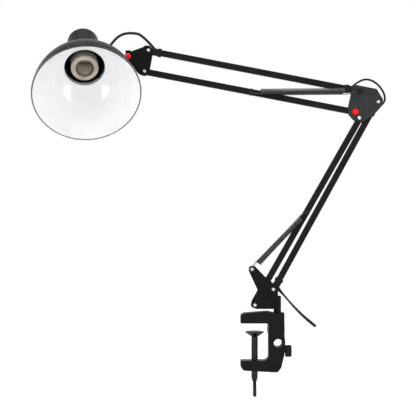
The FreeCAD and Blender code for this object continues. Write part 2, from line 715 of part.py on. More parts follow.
def head_plate(side):
    corners = [
        (TILT[0] - 4.6, TILT[1] + 5.0, 4.5), (H1[0] - 9.0, H1[1] + 5.2, 3), (H1[0] - 5.4, H1[1] + 8.0, 3),
        (H1[0] + 3.4, H1[1] + 7.4, 4), (H1[0] + 6.4, H1[1] - 5.0, 4), (H2[0] + 8.0, H2[1] + 3.0, 4),
        (H2[0] + 2.0, H2[1] - 7.4, 5), (H2[0] - 8.6, H2[1] - 4.0, 5), (TILT[0] - 5.0, TILT[1] - 5.0, 4.5),
    ]
    y0, y1 = sorted((side * PLATE_IN, side * PLATE_OUT))
    body = prism(corners, y0, y1)
    for pivot in (H1, H2, TILT):
        body = body.cut(disc(pivot, PIN_R, y0 - 1, y1 + 1))
    return body


def knuckle():
    """A barrel on the tilt bolt with a stem to the collar and a threaded boss on top."""
    half = PLATE_IN - BARREL_END_GAP
    neck = SHADE_NECK[1]
    body = disc(TILT, BARREL_DIAMETER / 2, -half, half)
    stem_end = STEM_LENGTH - neck - STEM_END_GAP
    body = body.fuse(Part.makeCylinder(STEM_DIAMETER / 2, stem_end, TILT_POINT, STEM_OUT * -1))
    flange_from = STEM_LENGTH - neck - BUSH_LENGTH - STEM_FLANGE_GAP - STEM_FLANGE_THICK
    flange = Part.makeCylinder(STEM_DIAMETER / 2 + STEM_FLANGE, STEM_FLANGE_THICK,
                               TILT_POINT - STEM_OUT * flange_from, STEM_OUT * -1)
    boss = Part.makeCylinder(3.2, NUT_AT, TILT_POINT)
    body = body.fuse([flange, boss])
    return body.cut(disc(TILT, HOLE_R, -TUBE, TUBE))


def knuckle_nut():
    half = NUT_WIDTH / 2
    body = Part.makeBox(NUT_WIDTH, NUT_WIDTH, NUT_HEIGHT, V(-half, -half, 0))
    body = body.makeFillet(0.9, [e for e in body.Edges if abs(e.Vertexes[0].Z - e.Vertexes[-1].Z) > 1])
    body.translate(TILT_POINT + V(0, 0, NUT_AT))
    return body


# ---------------------------------------------------------------- head

def in_head(shape):
    """From the head's own frame, Z along its axis from the mouth and X towards the stem."""
    return placed(shape, MOUTH, HEAD_AXIS, STEM_OUT)


def shade():
    belly_s, belly_r = SHADE_BELLY
    neck_s, neck_r = SHADE_NECK
    t = SHADE_SHEET
    profile = [
        (SHADE_RADIUS, 0), (SHADE_RADIUS, SHADE_LIP), (belly_r, belly_s, neck_r, neck_s),
        (neck_r, COLLAR_TO - 2), (neck_r - t, COLLAR_TO - 2), (neck_r - t, neck_s),
        (belly_r - t * 0.9, belly_s - t * 0.5, SHADE_RADIUS - t, SHADE_LIP), (SHADE_RADIUS - t, 0),
    ]
    return in_head(turned(profile))


def shade_filled():
    """The outside of the shade as one solid, which its neighbours are cut with."""
    belly_s, belly_r = SHADE_BELLY
    neck_s, neck_r = SHADE_NECK
    return turned([(0, 0), (SHADE_RADIUS, 0), (SHADE_RADIUS, SHADE_LIP), (belly_r, belly_s, neck_r, neck_s),
                   (neck_r, COLLAR_TO - 2), (0, COLLAR_TO - 2)])


def collar():
    """Ring round the shade's neck and bush of the stem as one casting."""
    neck_r = SHADE_NECK[1]
    ring = turned([(neck_r, COLLAR_FROM), (COLLAR_RADIUS, COLLAR_FROM), (COLLAR_RADIUS, COLLAR_TO),
                   (HOUSING_RADIUS, COLLAR_TO), (HOUSING_RADIUS, COLLAR_TO - 2), (neck_r, COLLAR_TO - 2)])
    bush = Part.makeCylinder(STEM_DIAMETER / 2 + BUSH_WALL, BUSH_LENGTH + 6,
                             V(neck_r - 6, 0, STEM_AT), V(1, 0, 0))
    body = ring.fuse(bush.cut(shade_filled())).cut(Part.makeCylinder(HOUSING_RADIUS, 200))
    bore = STEM_DIAMETER / 2 + STEM_BORE_FIT
    hole = Part.makeCylinder(bore, 40, V(neck_r + STEM_END_GAP / 2, 0, STEM_AT), V(1, 0, 0))
    return in_head(body.cut(hole))


def holder_housing():
    """The cup behind the shade. It carries the collar, the stem's bush, the gland and the rear cap."""
    r, w = HOUSING_RADIUS, HOUSING_WALL
    return turned([(r, COLLAR_TO - 2), (r, HOUSING_TO), (r - w, HOUSING_TO), (r - w, COLLAR_TO - 2)])


def rear_cap():
    """A thin cap with a round shoulder, a ring of vents and a neck for the push button."""
    r, w, shoulder = CAP_RADIUS, CAP_WALL, CAP_TO - 10
    big = HOUSING_RADIUS
    body = turned([(big - w, HOUSING_TO), (big, HOUSING_TO), (big, HOUSING_TO + 3), (r + 1, HOUSING_TO + 9),
                   (r, shoulder), (r - 3, CAP_TO - 3, r - 10, CAP_TO), (0, CAP_TO), (0, CAP_TO - w),
                   (r - 10, CAP_TO - w), (r - 3 - w * 0.7, CAP_TO - 3 - w * 0.7, r - w, shoulder),
                   (r + 1 - w, HOUSING_TO + 9), (big - w, HOUSING_TO + 3)])
    for i in range(VENT_COUNT):
        x, y = polar(1.0, 360 / VENT_COUNT * (i + 0.5))
        foot = V(x * (r - 10), y * (r - 10), CAP_TO - 12)
        vent = Part.makeCylinder(VENT_DIAMETER / 2, 20, foot, V(x, y, 1))
        body = body.cut(vent)
    body = body.cut(Part.makeCylinder(BUTTON_DIAMETER / 2 + BUTTON_FIT, 20, V(0, 0, CAP_TO - 10)))
    return in_head(body)


def switch_body():
    """The push switch under the rear cap. Its collar holds the button."""
    r = BUTTON_DIAMETER / 2 + BUTTON_FIT
    top = CAP_TO - CAP_WALL
    return in_head(turned([(0, top - 22), (9, top - 22), (9, top - 6), (8, top), (r, top), (r, top - 12),
                           (0, top - 12)]))


def push_button():
    r = BUTTON_DIAMETER / 2
    base = CAP_TO - CAP_WALL - 12 + BUTTON_TRAVEL + 0.5
    body = turned([(0, base), (r, base), (r, CAP_TO + BUTTON_PROUD - 2),
                   (r * 0.8, CAP_TO + BUTTON_PROUD - 0.5, DOME_FLAT, CAP_TO + BUTTON_PROUD),
                   (0, CAP_TO + BUTTON_PROUD)])
    return in_head(body)


def ceramic_socket():
    f, r, b = SOCKET_FRONT, SOCKET_RADIUS, SOCKET_BORE
    end = f + SOCKET_LENGTH
    profile = [(b, f), (r - 1, f), (r, f + 1.5), (r, f + SOCKET_SKIRT),
               (SOCKET_BODY_RADIUS, f + SOCKET_SKIRT + 3), (SOCKET_BODY_RADIUS, end), (0, end),
               (0, f + 8 + SHELL_DEPTH), (SHELL_RADIUS, f + 8 + SHELL_DEPTH), (SHELL_RADIUS, f + 8),
               (b, f + 6)]
    return in_head(turned(profile))


def screw_shell():
    """The threaded metal shell of the socket, drawn as ribs of the thread."""
    r = SHELL_RADIUS
    f = SOCKET_FRONT + 8
    ribs = 7
    step = (SHELL_DEPTH - 2) / ribs
    outside, inside = [(r - 0.1, f)], []
    for i in range(ribs):
        z = f + step * i
        outside.append((r - 0.9, z + step * 0.5))
        outside.append((r - 0.1, z + step))
    for radius, z in reversed(outside):
        inside.append((radius - SHELL_WALL, z))
    return in_head(turned(outside + inside))


def centre_contact():
    base = SOCKET_FRONT + 8 + SHELL_DEPTH
    return in_head(turned([(0, base - 4), (2.4, base - 4), (CONTACT_RADIUS, base - 1), (CONTACT_RADIUS, base),
                           (0, base)]))


def socket_bridge():
    """The strap across the housing that the socket is screwed to."""
    z = SOCKET_FRONT + SOCKET_LENGTH
    reach = math.sqrt((HOUSING_RADIUS - CAP_WALL - BRIDGE_FIT) ** 2 - (BRIDGE_WIDTH / 2) ** 2)
    strap = Part.makeBox(2 * reach, BRIDGE_WIDTH, BRIDGE, V(-reach, -BRIDGE_WIDTH / 2, z))
    screws = [Part.makeCylinder(2.6, 1.8, V(side * 10, 0, z + BRIDGE)) for side in (-1, 1)]
    return in_head(strap.fuse(screws))


def gland_base():
    """The point of the housing's side where the head cord leaves it."""
    side = HEAD_AXIS.cross(STEM_OUT)
    c, s = math.cos(math.radians(GLAND_TURN)), math.sin(math.radians(GLAND_TURN))
    return MOUTH + HEAD_AXIS * GLAND_AT + (STEM_OUT * c - side * s) * HOUSING_RADIUS


def gland_way():
    """The gland points at the first bend of the lead."""
    return (HEAD_LOOP[0] - gland_base()).normalize()


def cord_gland():
    """A tapered strain relief that leans up from the housing's side."""
    sunk = GLAND_SUNK
    cone = turned([(0, -sunk), (GLAND_RADIUS, -sunk), (GLAND_RADIUS, 3),
                   (GLAND_TIP_RADIUS, GLAND_LENGTH), (0, GLAND_LENGTH)])
    cone = placed(cone, gland_base(), gland_way(), V(0, 1, 0))
    return cone.cut(Part.makeCylinder(HOUSING_RADIUS, 200, MOUTH, HEAD_AXIS)).cut(collar())


# ---------------------------------------------------------------- lead

def on_centre_line(near, far, from_near, near_off, far_off):
    """A point of a tube's own centre line, as a point of space."""
    angle = math.degrees(math.atan2(far[1] - near[1], far[0] - near[0]))
    x, z = bar_point(near, angle, from_near, near_off + (far_off - near_off) * from_near / ARM_LENGTH)
    return V(x, 0, z)


def lead_ports():
    """For each crossing of a wall: the point on the centre line, the next point outside, the bar's angle."""
    low = ARM_LENGTH - LEAD_AT_ELBOW_LOW
    return {
        "base": (on_centre_line(B1, E1, LEAD_AT_BASE, -SPLAY, SPLAY), SUPPLY[0], LOWER_ANGLE),
        "elbow_low": (on_centre_line(B1, E1, low, -SPLAY, SPLAY), ELBOW_LOOP[-1], LOWER_ANGLE),
        "elbow_high": (on_centre_line(A1, H1, LEAD_AT_ELBOW_HIGH, 0, 0), ELBOW_LOOP[0], UPPER_ANGLE),
        "head": (on_centre_line(A1, H1, ARM_LENGTH - LEAD_AT_HEAD, 0, 0), HEAD_LOOP[-1], UPPER_ANGLE),
    }


def port_way(port):
    return (lead_ports()[port][1] - lead_ports()[port][0]).normalize()


def port_cut(port):
    """What the hole for the lead takes out of the tube and its sleeve."""
    way = port_way(port)
    return Part.makeCylinder(LEAD_HOLE / 2, 2 * TUBE, lead_ports()[port][0] + way, way)


def port_face(port):
    """Where the lead inside a tube meets the loop outside it."""
    x, z = polar(1, lead_ports()[port][2])
    rise = port_way(port).cross(V(x, 0, z)).Length
    return lead_ports()[port][0] + port_way(port) * (LEAD_FACE / rise)


def inner_lead(first, last, name):
    points = [port_face(first), lead_ports()[first][0], lead_ports()[last][0], port_face(last)]
    return swept(route_edges(points, name), INNER_LEAD, name)


def cut_route(points, cuts, name):
    """The edges of a route in pieces, cut in the middle of the runs that start at the given points."""
    edges = route_edges(points, name)
    pieces, piece = [], []
    for i, edge in enumerate(edges):
        if i % 2 == 0 and i // 2 in cuts:
            a, b = edge.Vertexes[0].Point, edge.Vertexes[1].Point
            middle = (a + b) * 0.5
            piece.append(Part.LineSegment(a, middle).toShape())
            pieces.append(piece)
            piece = [Part.LineSegment(middle, b).toShape()]
        else:
            piece.append(edge)
    return pieces + [piece]


def head_loop():
    gland_tip = gland_base() + gland_way() * GLAND_LENGTH
    points = [gland_tip] + HEAD_LOOP + [port_face("head")]
    return cut_route(points, (1, 3), "head_cord")


def elbow_loop():
    points = [port_face("elbow_high")] + ELBOW_LOOP + [port_face("elbow_low")]
    return cut_route(points, (2,), "elbow_cord")


def hank_centre(loop):
    """The middle of a loop of the hank, counted from the front."""
    return HANK_FRONT + HANK_LEAN * (HANK_PITCH * loop)


def hank_edges():
    """A tall racetrack wound from back to front: each run climbs half a pitch, and the folds are level."""
    up = V(0, 0, HANK_RUN / 2)
    aside = V(HANK_FOLD, 0, 0)
    down = V(0, 0, -1)
    stations = [(hank_centre(HANK_LOOPS) + aside + up, down)]
    edges = []
    for loop in range(HANK_LOOPS, 0, -1):
        low = hank_centre(loop - 0.5)
        high = hank_centre(loop - 1)
        edges += chain([(hank_centre(loop) + aside + up, down), (low + aside - up, down)])
        foot = low - up
        edges.append(Part.Arc(foot + aside, foot + down * HANK_FOLD, foot - aside).toShape())
        edges += chain([(foot - aside, down * -1), (high - aside + up, down * -1)])
        head = high + up
        edges.append(Part.Arc(head - aside, head - down * HANK_FOLD, head + aside).toShape())
    edges += chain([(HANK_FRONT + aside + up, down), (HANK_FRONT + aside - up, down)])
    foot = HANK_FRONT - up
    corner = V(HANK_FOLD, 0, -HANK_FOLD) * math.sqrt(0.5)
    edges.append(Part.Arc(foot + aside, foot + corner, foot + down * HANK_FOLD).toShape())
    return edges


def hank_end():
    return HANK_FRONT - V(0, 0, HANK_RUN / 2 + HANK_FOLD)


def supply_pieces():
    start = hank_centre(HANK_LOOPS) + V(HANK_FOLD, 0, HANK_RUN / 2)
    points = [port_face("base")] + SUPPLY + [start + V(0, 0, 9), start]
    return cut_route(points, (2,), "supply_cord")


def hank_and_tail():
    """The put-away length as one unbroken tube, with the tail that ends in the plug."""
    points = [hank_end()] + TAIL + [PLUG_AT, PLUG_AT + PLUG_WAY * 6]
    wound = hank_edges()
    print(f"cord_hank: least gap {least_gap(wound[:24], CORD, 60):.2f}")
    return wound + route_edges(points, "cord_tail")


def cord_tie():
    """A band round all the runs of the hank."""
    side = HANK_FOLD + CORD / 2 + TIE_GAP
    reach = CORD / 2 + TIE_GAP
    front, rear = hank_centre(0), hank_centre(HANK_LOOPS)
    z = (front.z + rear.z) / 2 + TIE_ABOVE_MIDDLE

    def ring(more):
        corners = [(front.x - side - more, front.y - reach - more),
                   (front.x + side + more, front.y - reach - more),
                   (rear.x + side + more, rear.y + reach + more),
                   (rear.x - side - more, rear.y + reach + more)]
        flat = prism([(x, y, CORD / 2 + more) for x, y in corners], 0, TIE_WIDTH)
        flat.rotate(V(0, 0, 0), V(1, 0, 0), 90)
        flat = flat.mirror(V(0, 0, 0), V(0, 1, 0))
        return flat

    band = ring(TIE_THICK).cut(ring(0))
    box = band.BoundBox
    band.translate(V(0, front.y - reach - TIE_THICK - box.YMin, z - TIE_WIDTH / 2 - box.ZMin))
    return band


def plug_frame(shape):
    return placed(shape, PLUG_AT + PLUG_WAY * 6, PLUG_WAY, V(1, 0, 0))


def plug_body():
    half_w, half_t = PLUG_WIDTH / 2, PLUG_THICK / 2
    grip = Part.makeBox(PLUG_WIDTH, PLUG_THICK, PLUG_LENGTH, V(-half_w, -half_t, PLUG_RELIEF))
    grip = grip.makeFillet(3.0, [e for e in grip.Edges if abs(e.Vertexes[0].Z - e.Vertexes[-1].Z) > 1])
    relief = turned([(0, 0), (CORD / 2 + 0.9, 0), (half_t - 0.6, PLUG_RELIEF + 1), (0, PLUG_RELIEF + 1)])
    return plug_frame(grip.fuse(relief))


def plug_blades():
    made = []
    for side in (-1, 1):
        corner = V(side * BLADE_SPACING / 2 - BLADE_THICK / 2, -BLADE_WIDTH / 2, PLUG_RELIEF + PLUG_LENGTH)
        blade = Part.makeBox(BLADE_THICK, BLADE_WIDTH, BLADE_LENGTH, corner)
        made.append(plug_frame(blade))
    return made


# ---------------------------------------------------------------- build

def compound(shapes):
    return Part.makeCompound(list(shapes))


def export(name, shape):
    solids = shape.Solids
    good = bool(solids) and all(s.isValid() for s in solids)
    print(f"{name}: {len(solids)} solids, volume {shape.Volume:.0f}" + ("" if good else " INVALID"))
    shape.translate(V(-ORIGIN_X, 0, 0))
    shape.exportStep(f"parts/{name}.step")


def build_clamp():
    export("clamp_frame", clamp_frame())
    export("lock_knob", compound([lock_knob(), lock_screw()]))
    export("clamp_screw", clamp_screw())
    export("screw_paddle", screw_paddle())
    export("clamp_pad", clamp_pad())


def build_base():
    export("swivel_post", swivel_post())
    export("bracket_plate_front", bracket_plate(-1, FRONT_STUD))
    export("bracket_plate_rear", bracket_plate(1, REAR_STUD))
    export("base_rivets", compound([rivet(B1), rivet(B2)]))
    export("base_washers", compound(washers([B2])))
    export("spring_studs", compound([spring_stud(FRONT_STUD, -1), spring_stud(REAR_STUD, 1)]))


def build_lower_arm():
    export("lower_rear_tube", square_tube(B1, E1, -SPLAY, SPLAY, ports=["base", "elbow_low"]))
    bottom = sleeve(-TUBE / 2, SLEEVE_AT_BASE, -SPLAY, SPLAY, 0, SLEEVE_AT_BASE - LIP_LENGTH, SLEEVE_LIP)
    bottom = on_bar(bottom, B1, LOWER_ANGLE).cut(port_cut("base"))
    start = ARM_LENGTH - SLEEVE_AT_ELBOW_LOW
    top = sleeve(start, ARM_LENGTH + TUBE / 2, -SPLAY, SPLAY, ARM_LENGTH, start, 0)
    top = on_bar(top, B1, LOWER_ANGLE).cut(port_cut("elbow_low"))
    export("lower_rear_sleeves", compound([bottom, top]))
    export("lower_lead", inner_lead("base", "elbow_low", "lower_lead"))
    export("lower_front_tube",
           square_tube(B2, E2, SPLAY, -SPLAY, far_hole=EYELET_R + OPEN_PIVOT_ROOM, pins=[SPRING_AT]))
    export("lower_spring_pin", spring_pin(LOWER_SPRING_PIN, B2, LOWER_ANGLE))
    hook = SPRING_HOOK_LOWER
    made = [spring(stud, LOWER_SPRING_PIN, side * SPRING_Y, hook, hook, "lower_springs")
            for stud, side in ((FRONT_STUD, -1), (REAR_STUD, 1))]
    export("lower_springs", compound(made))


def build_elbow():
    export("elbow_plate_front", elbow_plate(-1))
    export("elbow_plate_rear", elbow_plate(1))
    boss_from = SPRING_Y + STUD_PAST_SPRING
    bolts = pivot_bolts([A1, A2], [boss_from + CAP_SEAT, PLATE_OUT + CAP_SEAT])
    export("elbow_fasteners", compound([rivet(E1)] + bolts))
    export("elbow_eyelet", elbow_eyelet())
    export("elbow_washers", compound(washers([A2])))
    export("black_caps", compound(cap_pair(A1, boss_from)))
    export("red_caps", compound(cap_pair(A2, PLATE_OUT)))


def build_upper_arm():
    export("upper_top_tube", square_tube(A1, H1, ports=["elbow_high", "head"]))
    near = sleeve(-TUBE / 2, SLEEVE_AT_ELBOW_HIGH, 0, 0, 0, SLEEVE_AT_ELBOW_HIGH - 8, SLEEVE_LIP)
    near = on_bar(near, A1, UPPER_ANGLE).cut(port_cut("elbow_high"))
    start = ARM_LENGTH - SLEEVE_AT_HEAD
    far = sleeve(start, ARM_LENGTH + TUBE / 2, 0, 0, ARM_LENGTH, start, SLEEVE_LIP)
    far = on_bar(far, A1, UPPER_ANGLE).cut(port_cut("head"))
    export("upper_top_sleeves", compound([near, far]))
    export("upper_lead", inner_lead("elbow_high", "head", "upper_lead"))
    export("upper_bottom_tube", square_tube(A2, H2, far_hole=PIN_R + OPEN_PIVOT_ROOM, pins=[SPRING_AT]))
    export("upper_spring_pin", spring_pin(UPPER_SPRING_PIN, A2, UPPER_ANGLE))
    near_hook, far_hook = SPRING_HOOK_UPPER, SPRING_HOOK_LOWER
    made = [spring(A1, UPPER_SPRING_PIN, side * SPRING_Y, near_hook, far_hook, "upper_springs")
            for side in (-1, 1)]
    export("upper_springs", compound(made))


def build_head():
    export("head_plate_front", head_plate(-1))
    export("head_plate_rear", head_plate(1))
    export("head_rivets", compound([rivet(H1), rivet(H2)]))
    export("head_washers", compound(washers([H2])))
    export("tilt_bolt", compound(pivot_bolts([TILT], [PLATE_OUT + CAP_SEAT])))
    export("tilt_caps", compound(cap_pair(TILT, PLATE_OUT)))
    export("knuckle", knuckle())
    export("knuckle_nut", knuckle_nut())
    export("shade", shade())
    export("collar", collar())
    export("holder_housing", in_head(holder_housing()))
    export("rear_cap", rear_cap())
    export("switch_body", switch_body())
    export("push_button", push_button())
    export("ceramic_socket", ceramic_socket())
    export("socket_contacts", compound([screw_shell(), centre_contact()]))
    export("socket_bridge", socket_bridge())
    export("cord_gland", cord_gland())


def build_lead():
    for name, pieces in (("head_cord", head_loop()), ("elbow_cord", elbow_loop())):
        for letter, edges in zip("abc", pieces):
            export(f"{name}_{letter}", swept(edges, LOOP_CORD, f"{name}_{letter}"))
    for letter, edges in zip("ab", supply_pieces()):
        export(f"supply_cord_{letter}", swept(edges, CORD, f"supply_cord_{letter}"))
    export("cord_hank", swept(hank_and_tail(), CORD, "cord_hank"))
    export("cord_tie", cord_tie())
    export("plug_body", plug_body())
    export("plug_blades", compound(plug_blades()))


os.makedirs("parts", exist_ok=True)
build_clamp()
build_base()
build_lower_arm()
build_elbow()
build_upper_arm()
build_head()
build_lead()
for label, point in (("B1", B1), ("B2", B2), ("E1", E1), ("E2", E2), ("A1", A1), ("A2", A2),
                     ("H1", H1), ("H2", H2), ("tilt", TILT), ("front stud", FRONT_STUD),
                     ("lower spring pin", LOWER_SPRING_PIN), ("upper spring pin", UPPER_SPRING_PIN)):
    print(f"{label}: {point[0]:.2f} {point[1]:.2f}")
print("stem", STEM_AT, STEM_FOOT, STEM_OUT, STEM_LENGTH)
print("gland tip", gland_base() + gland_way() * GLAND_LENGTH)
for port in lead_ports():
    print("port", port, port_face(port))
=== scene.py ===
"""Look of a clamp-on desk lamp with two swing arms, over its CAD model.

Metres, in the CAD model's own frame: X to the right along the arms, Y away from the viewer, Z up,
with the origin at the middle of the underside of the clamp's upper jaw. Places are written as the
CAD model draws them, in millimetres from the axis of the swivel post, and at() moves them.
"""
import math

import bpy
import numpy as np
from mathutils import Matrix


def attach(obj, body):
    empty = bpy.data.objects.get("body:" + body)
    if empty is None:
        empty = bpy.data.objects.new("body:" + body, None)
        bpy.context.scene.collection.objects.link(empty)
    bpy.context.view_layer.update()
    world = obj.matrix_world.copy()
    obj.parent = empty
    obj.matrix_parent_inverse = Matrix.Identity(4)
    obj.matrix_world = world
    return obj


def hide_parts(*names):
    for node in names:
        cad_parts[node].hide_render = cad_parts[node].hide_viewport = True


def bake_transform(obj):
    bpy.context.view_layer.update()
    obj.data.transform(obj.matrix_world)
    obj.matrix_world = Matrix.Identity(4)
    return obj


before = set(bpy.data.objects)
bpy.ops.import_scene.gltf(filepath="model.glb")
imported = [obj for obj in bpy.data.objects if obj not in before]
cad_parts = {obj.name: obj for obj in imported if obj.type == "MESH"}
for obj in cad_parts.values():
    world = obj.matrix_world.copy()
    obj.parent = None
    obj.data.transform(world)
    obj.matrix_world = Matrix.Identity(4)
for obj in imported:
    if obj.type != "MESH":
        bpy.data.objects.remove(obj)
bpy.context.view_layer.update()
MM = 0.001
X, Y, Z = np.eye(3)
POST = 40 * X


def at(*numbers):
    """A point given in millimetres from the post's axis, which stands 40 mm right of the origin."""
    return (np.array(numbers, float) + POST) * MM


def unit(vectors):
    """Each vector divided by its own length."""
    vectors = np.asarray(vectors, float)
    return vectors / np.linalg.norm(vectors, axis=-1, keepdims=True)


# ---------------------------------------------------------------- camera

SENSOR_WIDTH, LENS = 36.0, 106.46
CAMERA_AT = (-0.0727, -2.0, 0.1868)

view = bpy.data.cameras.new("camera")
view.sensor_width = SENSOR_WIDTH
view.lens = LENS
camera = bpy.data.objects.new("camera", view)
camera.location = CAMERA_AT
camera.rotation_euler = (math.pi / 2, 0.0, 0.0)
bpy.context.scene.collection.objects.link(camera)
bpy.context.scene.camera = camera


# ---------------------------------------------------------------- surfaces

def surface(name, grid, paints, bands=None, wrap_rows=False, sharp=40.0):
    """One closed surface from a grid of points.

    Neighbouring rows and columns span four-sided faces, and the last column joins the first. The
    first and last row are closed by a fan round their middle, or joined to each other where
    wrap_rows is set. bands gives each row of faces the number of its paint.
    """
    rows, columns = grid.shape[:2]
    points = grid.reshape(-1, 3)
    here = np.arange(rows * columns).reshape(rows, columns)
    if wrap_rows:
        here = np.vstack([here, here[:1]])
    beside = np.roll(here, -1, axis=1)
    quads = np.stack([here[:-1], beside[:-1], beside[1:], here[1:]], axis=-1).reshape(-1, 4)
    band = np.zeros(len(here) - 1, int) if bands is None else np.asarray(bands)
    paint = np.repeat(band, columns)
    corners, sizes = [quads.ravel()], [np.full(len(quads), 4)]
    if not wrap_rows:
        first, last = len(points), len(points) + 1
        points = np.vstack([points, grid[0].mean(0), grid[-1].mean(0)])
        fans = [np.stack([np.full(columns, first), beside[0], here[0]], axis=-1),
                np.stack([np.full(columns, last), here[-1], beside[-1]], axis=-1)]
        corners += [fan.ravel() for fan in fans]
        sizes += [np.full(2 * columns, 3)]
        paint = np.concatenate([paint, np.repeat([band[0], band[-1]], columns)])
    corners, sizes = np.concatenate(corners), np.concatenate(sizes)
    mesh = bpy.data.meshes.new(name)
    mesh.vertices.add(len(points))
    mesh.vertices.foreach_set("co", points.astype(np.float32).ravel())
    mesh.loops.add(len(corners))
    mesh.loops.foreach_set("vertex_index", corners.astype(np.int32))
    mesh.polygons.add(len(sizes))
    mesh.polygons.foreach_set("loop_start", np.concatenate([[0], np.cumsum(sizes)[:-1]]).astype(np.int32))
    mesh.polygons.foreach_set("material_index", paint.astype(np.int32))
    mesh.polygons.foreach_set("use_smooth", np.ones(len(sizes), bool))
    mesh.update(calc_edges=True)
    mesh.set_sharp_from_angle(angle=math.radians(sharp))
    for material in paints:
        mesh.materials.append(material)
    piece = bpy.data.objects.new(name, mesh)
    bpy.context.scene.collection.objects.link(piece)
    return piece


def swept(line, wide, outline):
    """Carries a flat outline along a line.

    At each point of the line the outline lies on the plane across it. Its first number runs along
    the wide direction, made square to the line, and its second along the line crossed with that.
    """
    along = unit(np.gradient(line, axis=0))
    wide = unit(wide - along * (wide * along).sum(1, keepdims=True))
    thin = np.cross(along, wide)
    return line[:, None] + outline[..., 0:1] * wide[:, None] + outline[..., 1:2] * thin[:, None]


def circle_outline(radius, count):
    """Points at equal angles on a circle."""
    turn = np.arange(count) * 2 * math.pi / count
    return radius * np.stack([np.cos(turn), np.sin(turn)], axis=-1)


def turned(profile, foot, axis, start, count=96):
    """Turns a profile of (radius, height) round an axis through foot.

    The point of profile row r and column a is foot + height * axis + radius * (cos a * start +
    sin a * side), where side is the axis crossed with start.
    """
    profile = np.asarray(profile, float)
    turn = np.arange(count) * 2 * math.pi / count
    out = np.cos(turn)[:, None] * start + np.sin(turn)[:, None] * np.cross(axis, start)
    return foot + profile[:, None, 1:2] * axis + profile[:, None, 0:1] * out[None]


def arc_points(first, middle, last, count):
    """Points at equal angles on the arc through three flat points.

    The centre is where the lines across the middles of the two chords meet.
    """
    a, b, c = (np.asarray(p, float) for p in (first, middle, last))
    centre = np.linalg.solve(2 * np.array([b - a, c - b]), np.array([b @ b - a @ a, c @ c - b @ b]))
    angle = np.unwrap([math.atan2(*(p - centre)[::-1]) for p in (a, b, c)])
    turn = np.linspace(angle[0], angle[2], count)
    return centre + math.dist(a, centre) * np.stack([np.cos(turn), np.sin(turn)], axis=-1)


# ---------------------------------------------------------------- finishes

class Finish:
    """A material's nodes, made one after another. Patterns lie on Object coordinates."""

    def __init__(self, name, **constants):
        self.material = bpy.data.materials.new(name)
        self.material.use_nodes = True
        self.nodes = self.material.node_tree.nodes
        self.shader = self.nodes["Principled BSDF"]
        self.place = self.node("ShaderNodeTexCoord").outputs["Object"]
        for socket, value in constants.items():
            self.shader.inputs[socket.replace("_", " ")].default_value = value

    def node(self, kind, **settings):
        made = self.nodes.new(kind)
        for name, value in settings.items():
            setattr(made, name, value)
        return made

    def link(self, source, target):
        self.material.node_tree.links.new(source, target)

    def noise(self, size, detail=3.0, rough=0.55, squash=(1, 1, 1)):
        """Cloudy noise whose blotches are about size across, drawn out along an axis by squash."""
        mapping = self.node("ShaderNodeMapping")
        mapping.inputs["Scale"].default_value = squash
        self.link(self.place, mapping.inputs["Vector"])
        made = self.node("ShaderNodeTexNoise")
        made.inputs["Scale"].default_value = 1 / size
        made.inputs["Detail"].default_value = detail
        made.inputs["Roughness"].default_value = rough
        self.link(mapping.outputs["Vector"], made.inputs["Vector"])
        return made.outputs["Fac"]

    def spread(self, value, low, high, start=0.35, end=0.65):
        """Maps a value from between start and end to between low and high."""
        made = self.node("ShaderNodeMapRange")
        made.inputs["From Min"].default_value = start
        made.inputs["From Max"].default_value = end
        made.inputs["To Min"].default_value = low
        made.inputs["To Max"].default_value = high
        self.link(value, made.inputs["Value"])
        return made.outputs["Result"]

    def mixed(self, amount, first, second):
        """First and second are colours or the sockets of colours."""
        made = self.node("ShaderNodeMix", data_type="RGBA")
        self.link(amount, made.inputs["Factor"])
        for socket, colour in (("A", first), ("B", second)):
            target = [i for i in made.inputs if i.name == socket and i.type == "RGBA"][0]
            if isinstance(colour, tuple):
                target.default_value = (*colour, 1)
            else:
                self.link(colour, target)
        return [o for o in made.outputs if o.type == "RGBA"][0]

    def colour(self, socket):
        self.link(socket, self.shader.inputs["Base Color"])

    def roughness(self, socket):
        self.link(socket, self.shader.inputs["Roughness"])

    def bump(self, height, depth, strength=1.0, soft_edge=0.0):
        """Raises the surface by up to depth. soft_edge rounds the light on a CAD node's edges."""
        made = self.node("ShaderNodeBump")
        made.inputs["Strength"].default_value = strength
        made.inputs["Distance"].default_value = depth
        self.link(height, made.inputs["Height"])
        if soft_edge:
            bevel = self.node("ShaderNodeBevel", samples=6)
            bevel.inputs["Radius"].default_value = soft_edge
            self.link(bevel.outputs["Normal"], made.inputs["Normal"])
        self.link(made.outputs["Normal"], self.shader.inputs["Normal"])

    def edge_wear_and_sheen(self, colour, wear_and_sheen, radius):
        """Lightens edges, as wear and as a painted highlight: the more the rounded normal leans from the
        face's own, the lighter.
        """
        bevel = self.node("ShaderNodeBevel", samples=6)
        bevel.inputs["Radius"].default_value = radius
        flat = self.node("ShaderNodeNewGeometry")
        dot = self.node("ShaderNodeVectorMath", operation="DOT_PRODUCT")
        self.link(bevel.outputs["Normal"], dot.inputs[0])
        self.link(flat.outputs["True Normal"], dot.inputs[1])
        edge = self.spread(dot.outputs["Value"], 1.0, 0.0, 0.86, 0.995)
        grain = self.spread(self.noise(1.6 * MM, 4), 0.0, 1.0, 0.42, 0.62)
        both = self.node("ShaderNodeMath", operation="MULTIPLY")
        self.link(edge, both.inputs[0])
        self.link(grain, both.inputs[1])
        return self.mixed(both.outputs["Value"], colour, wear_and_sheen)


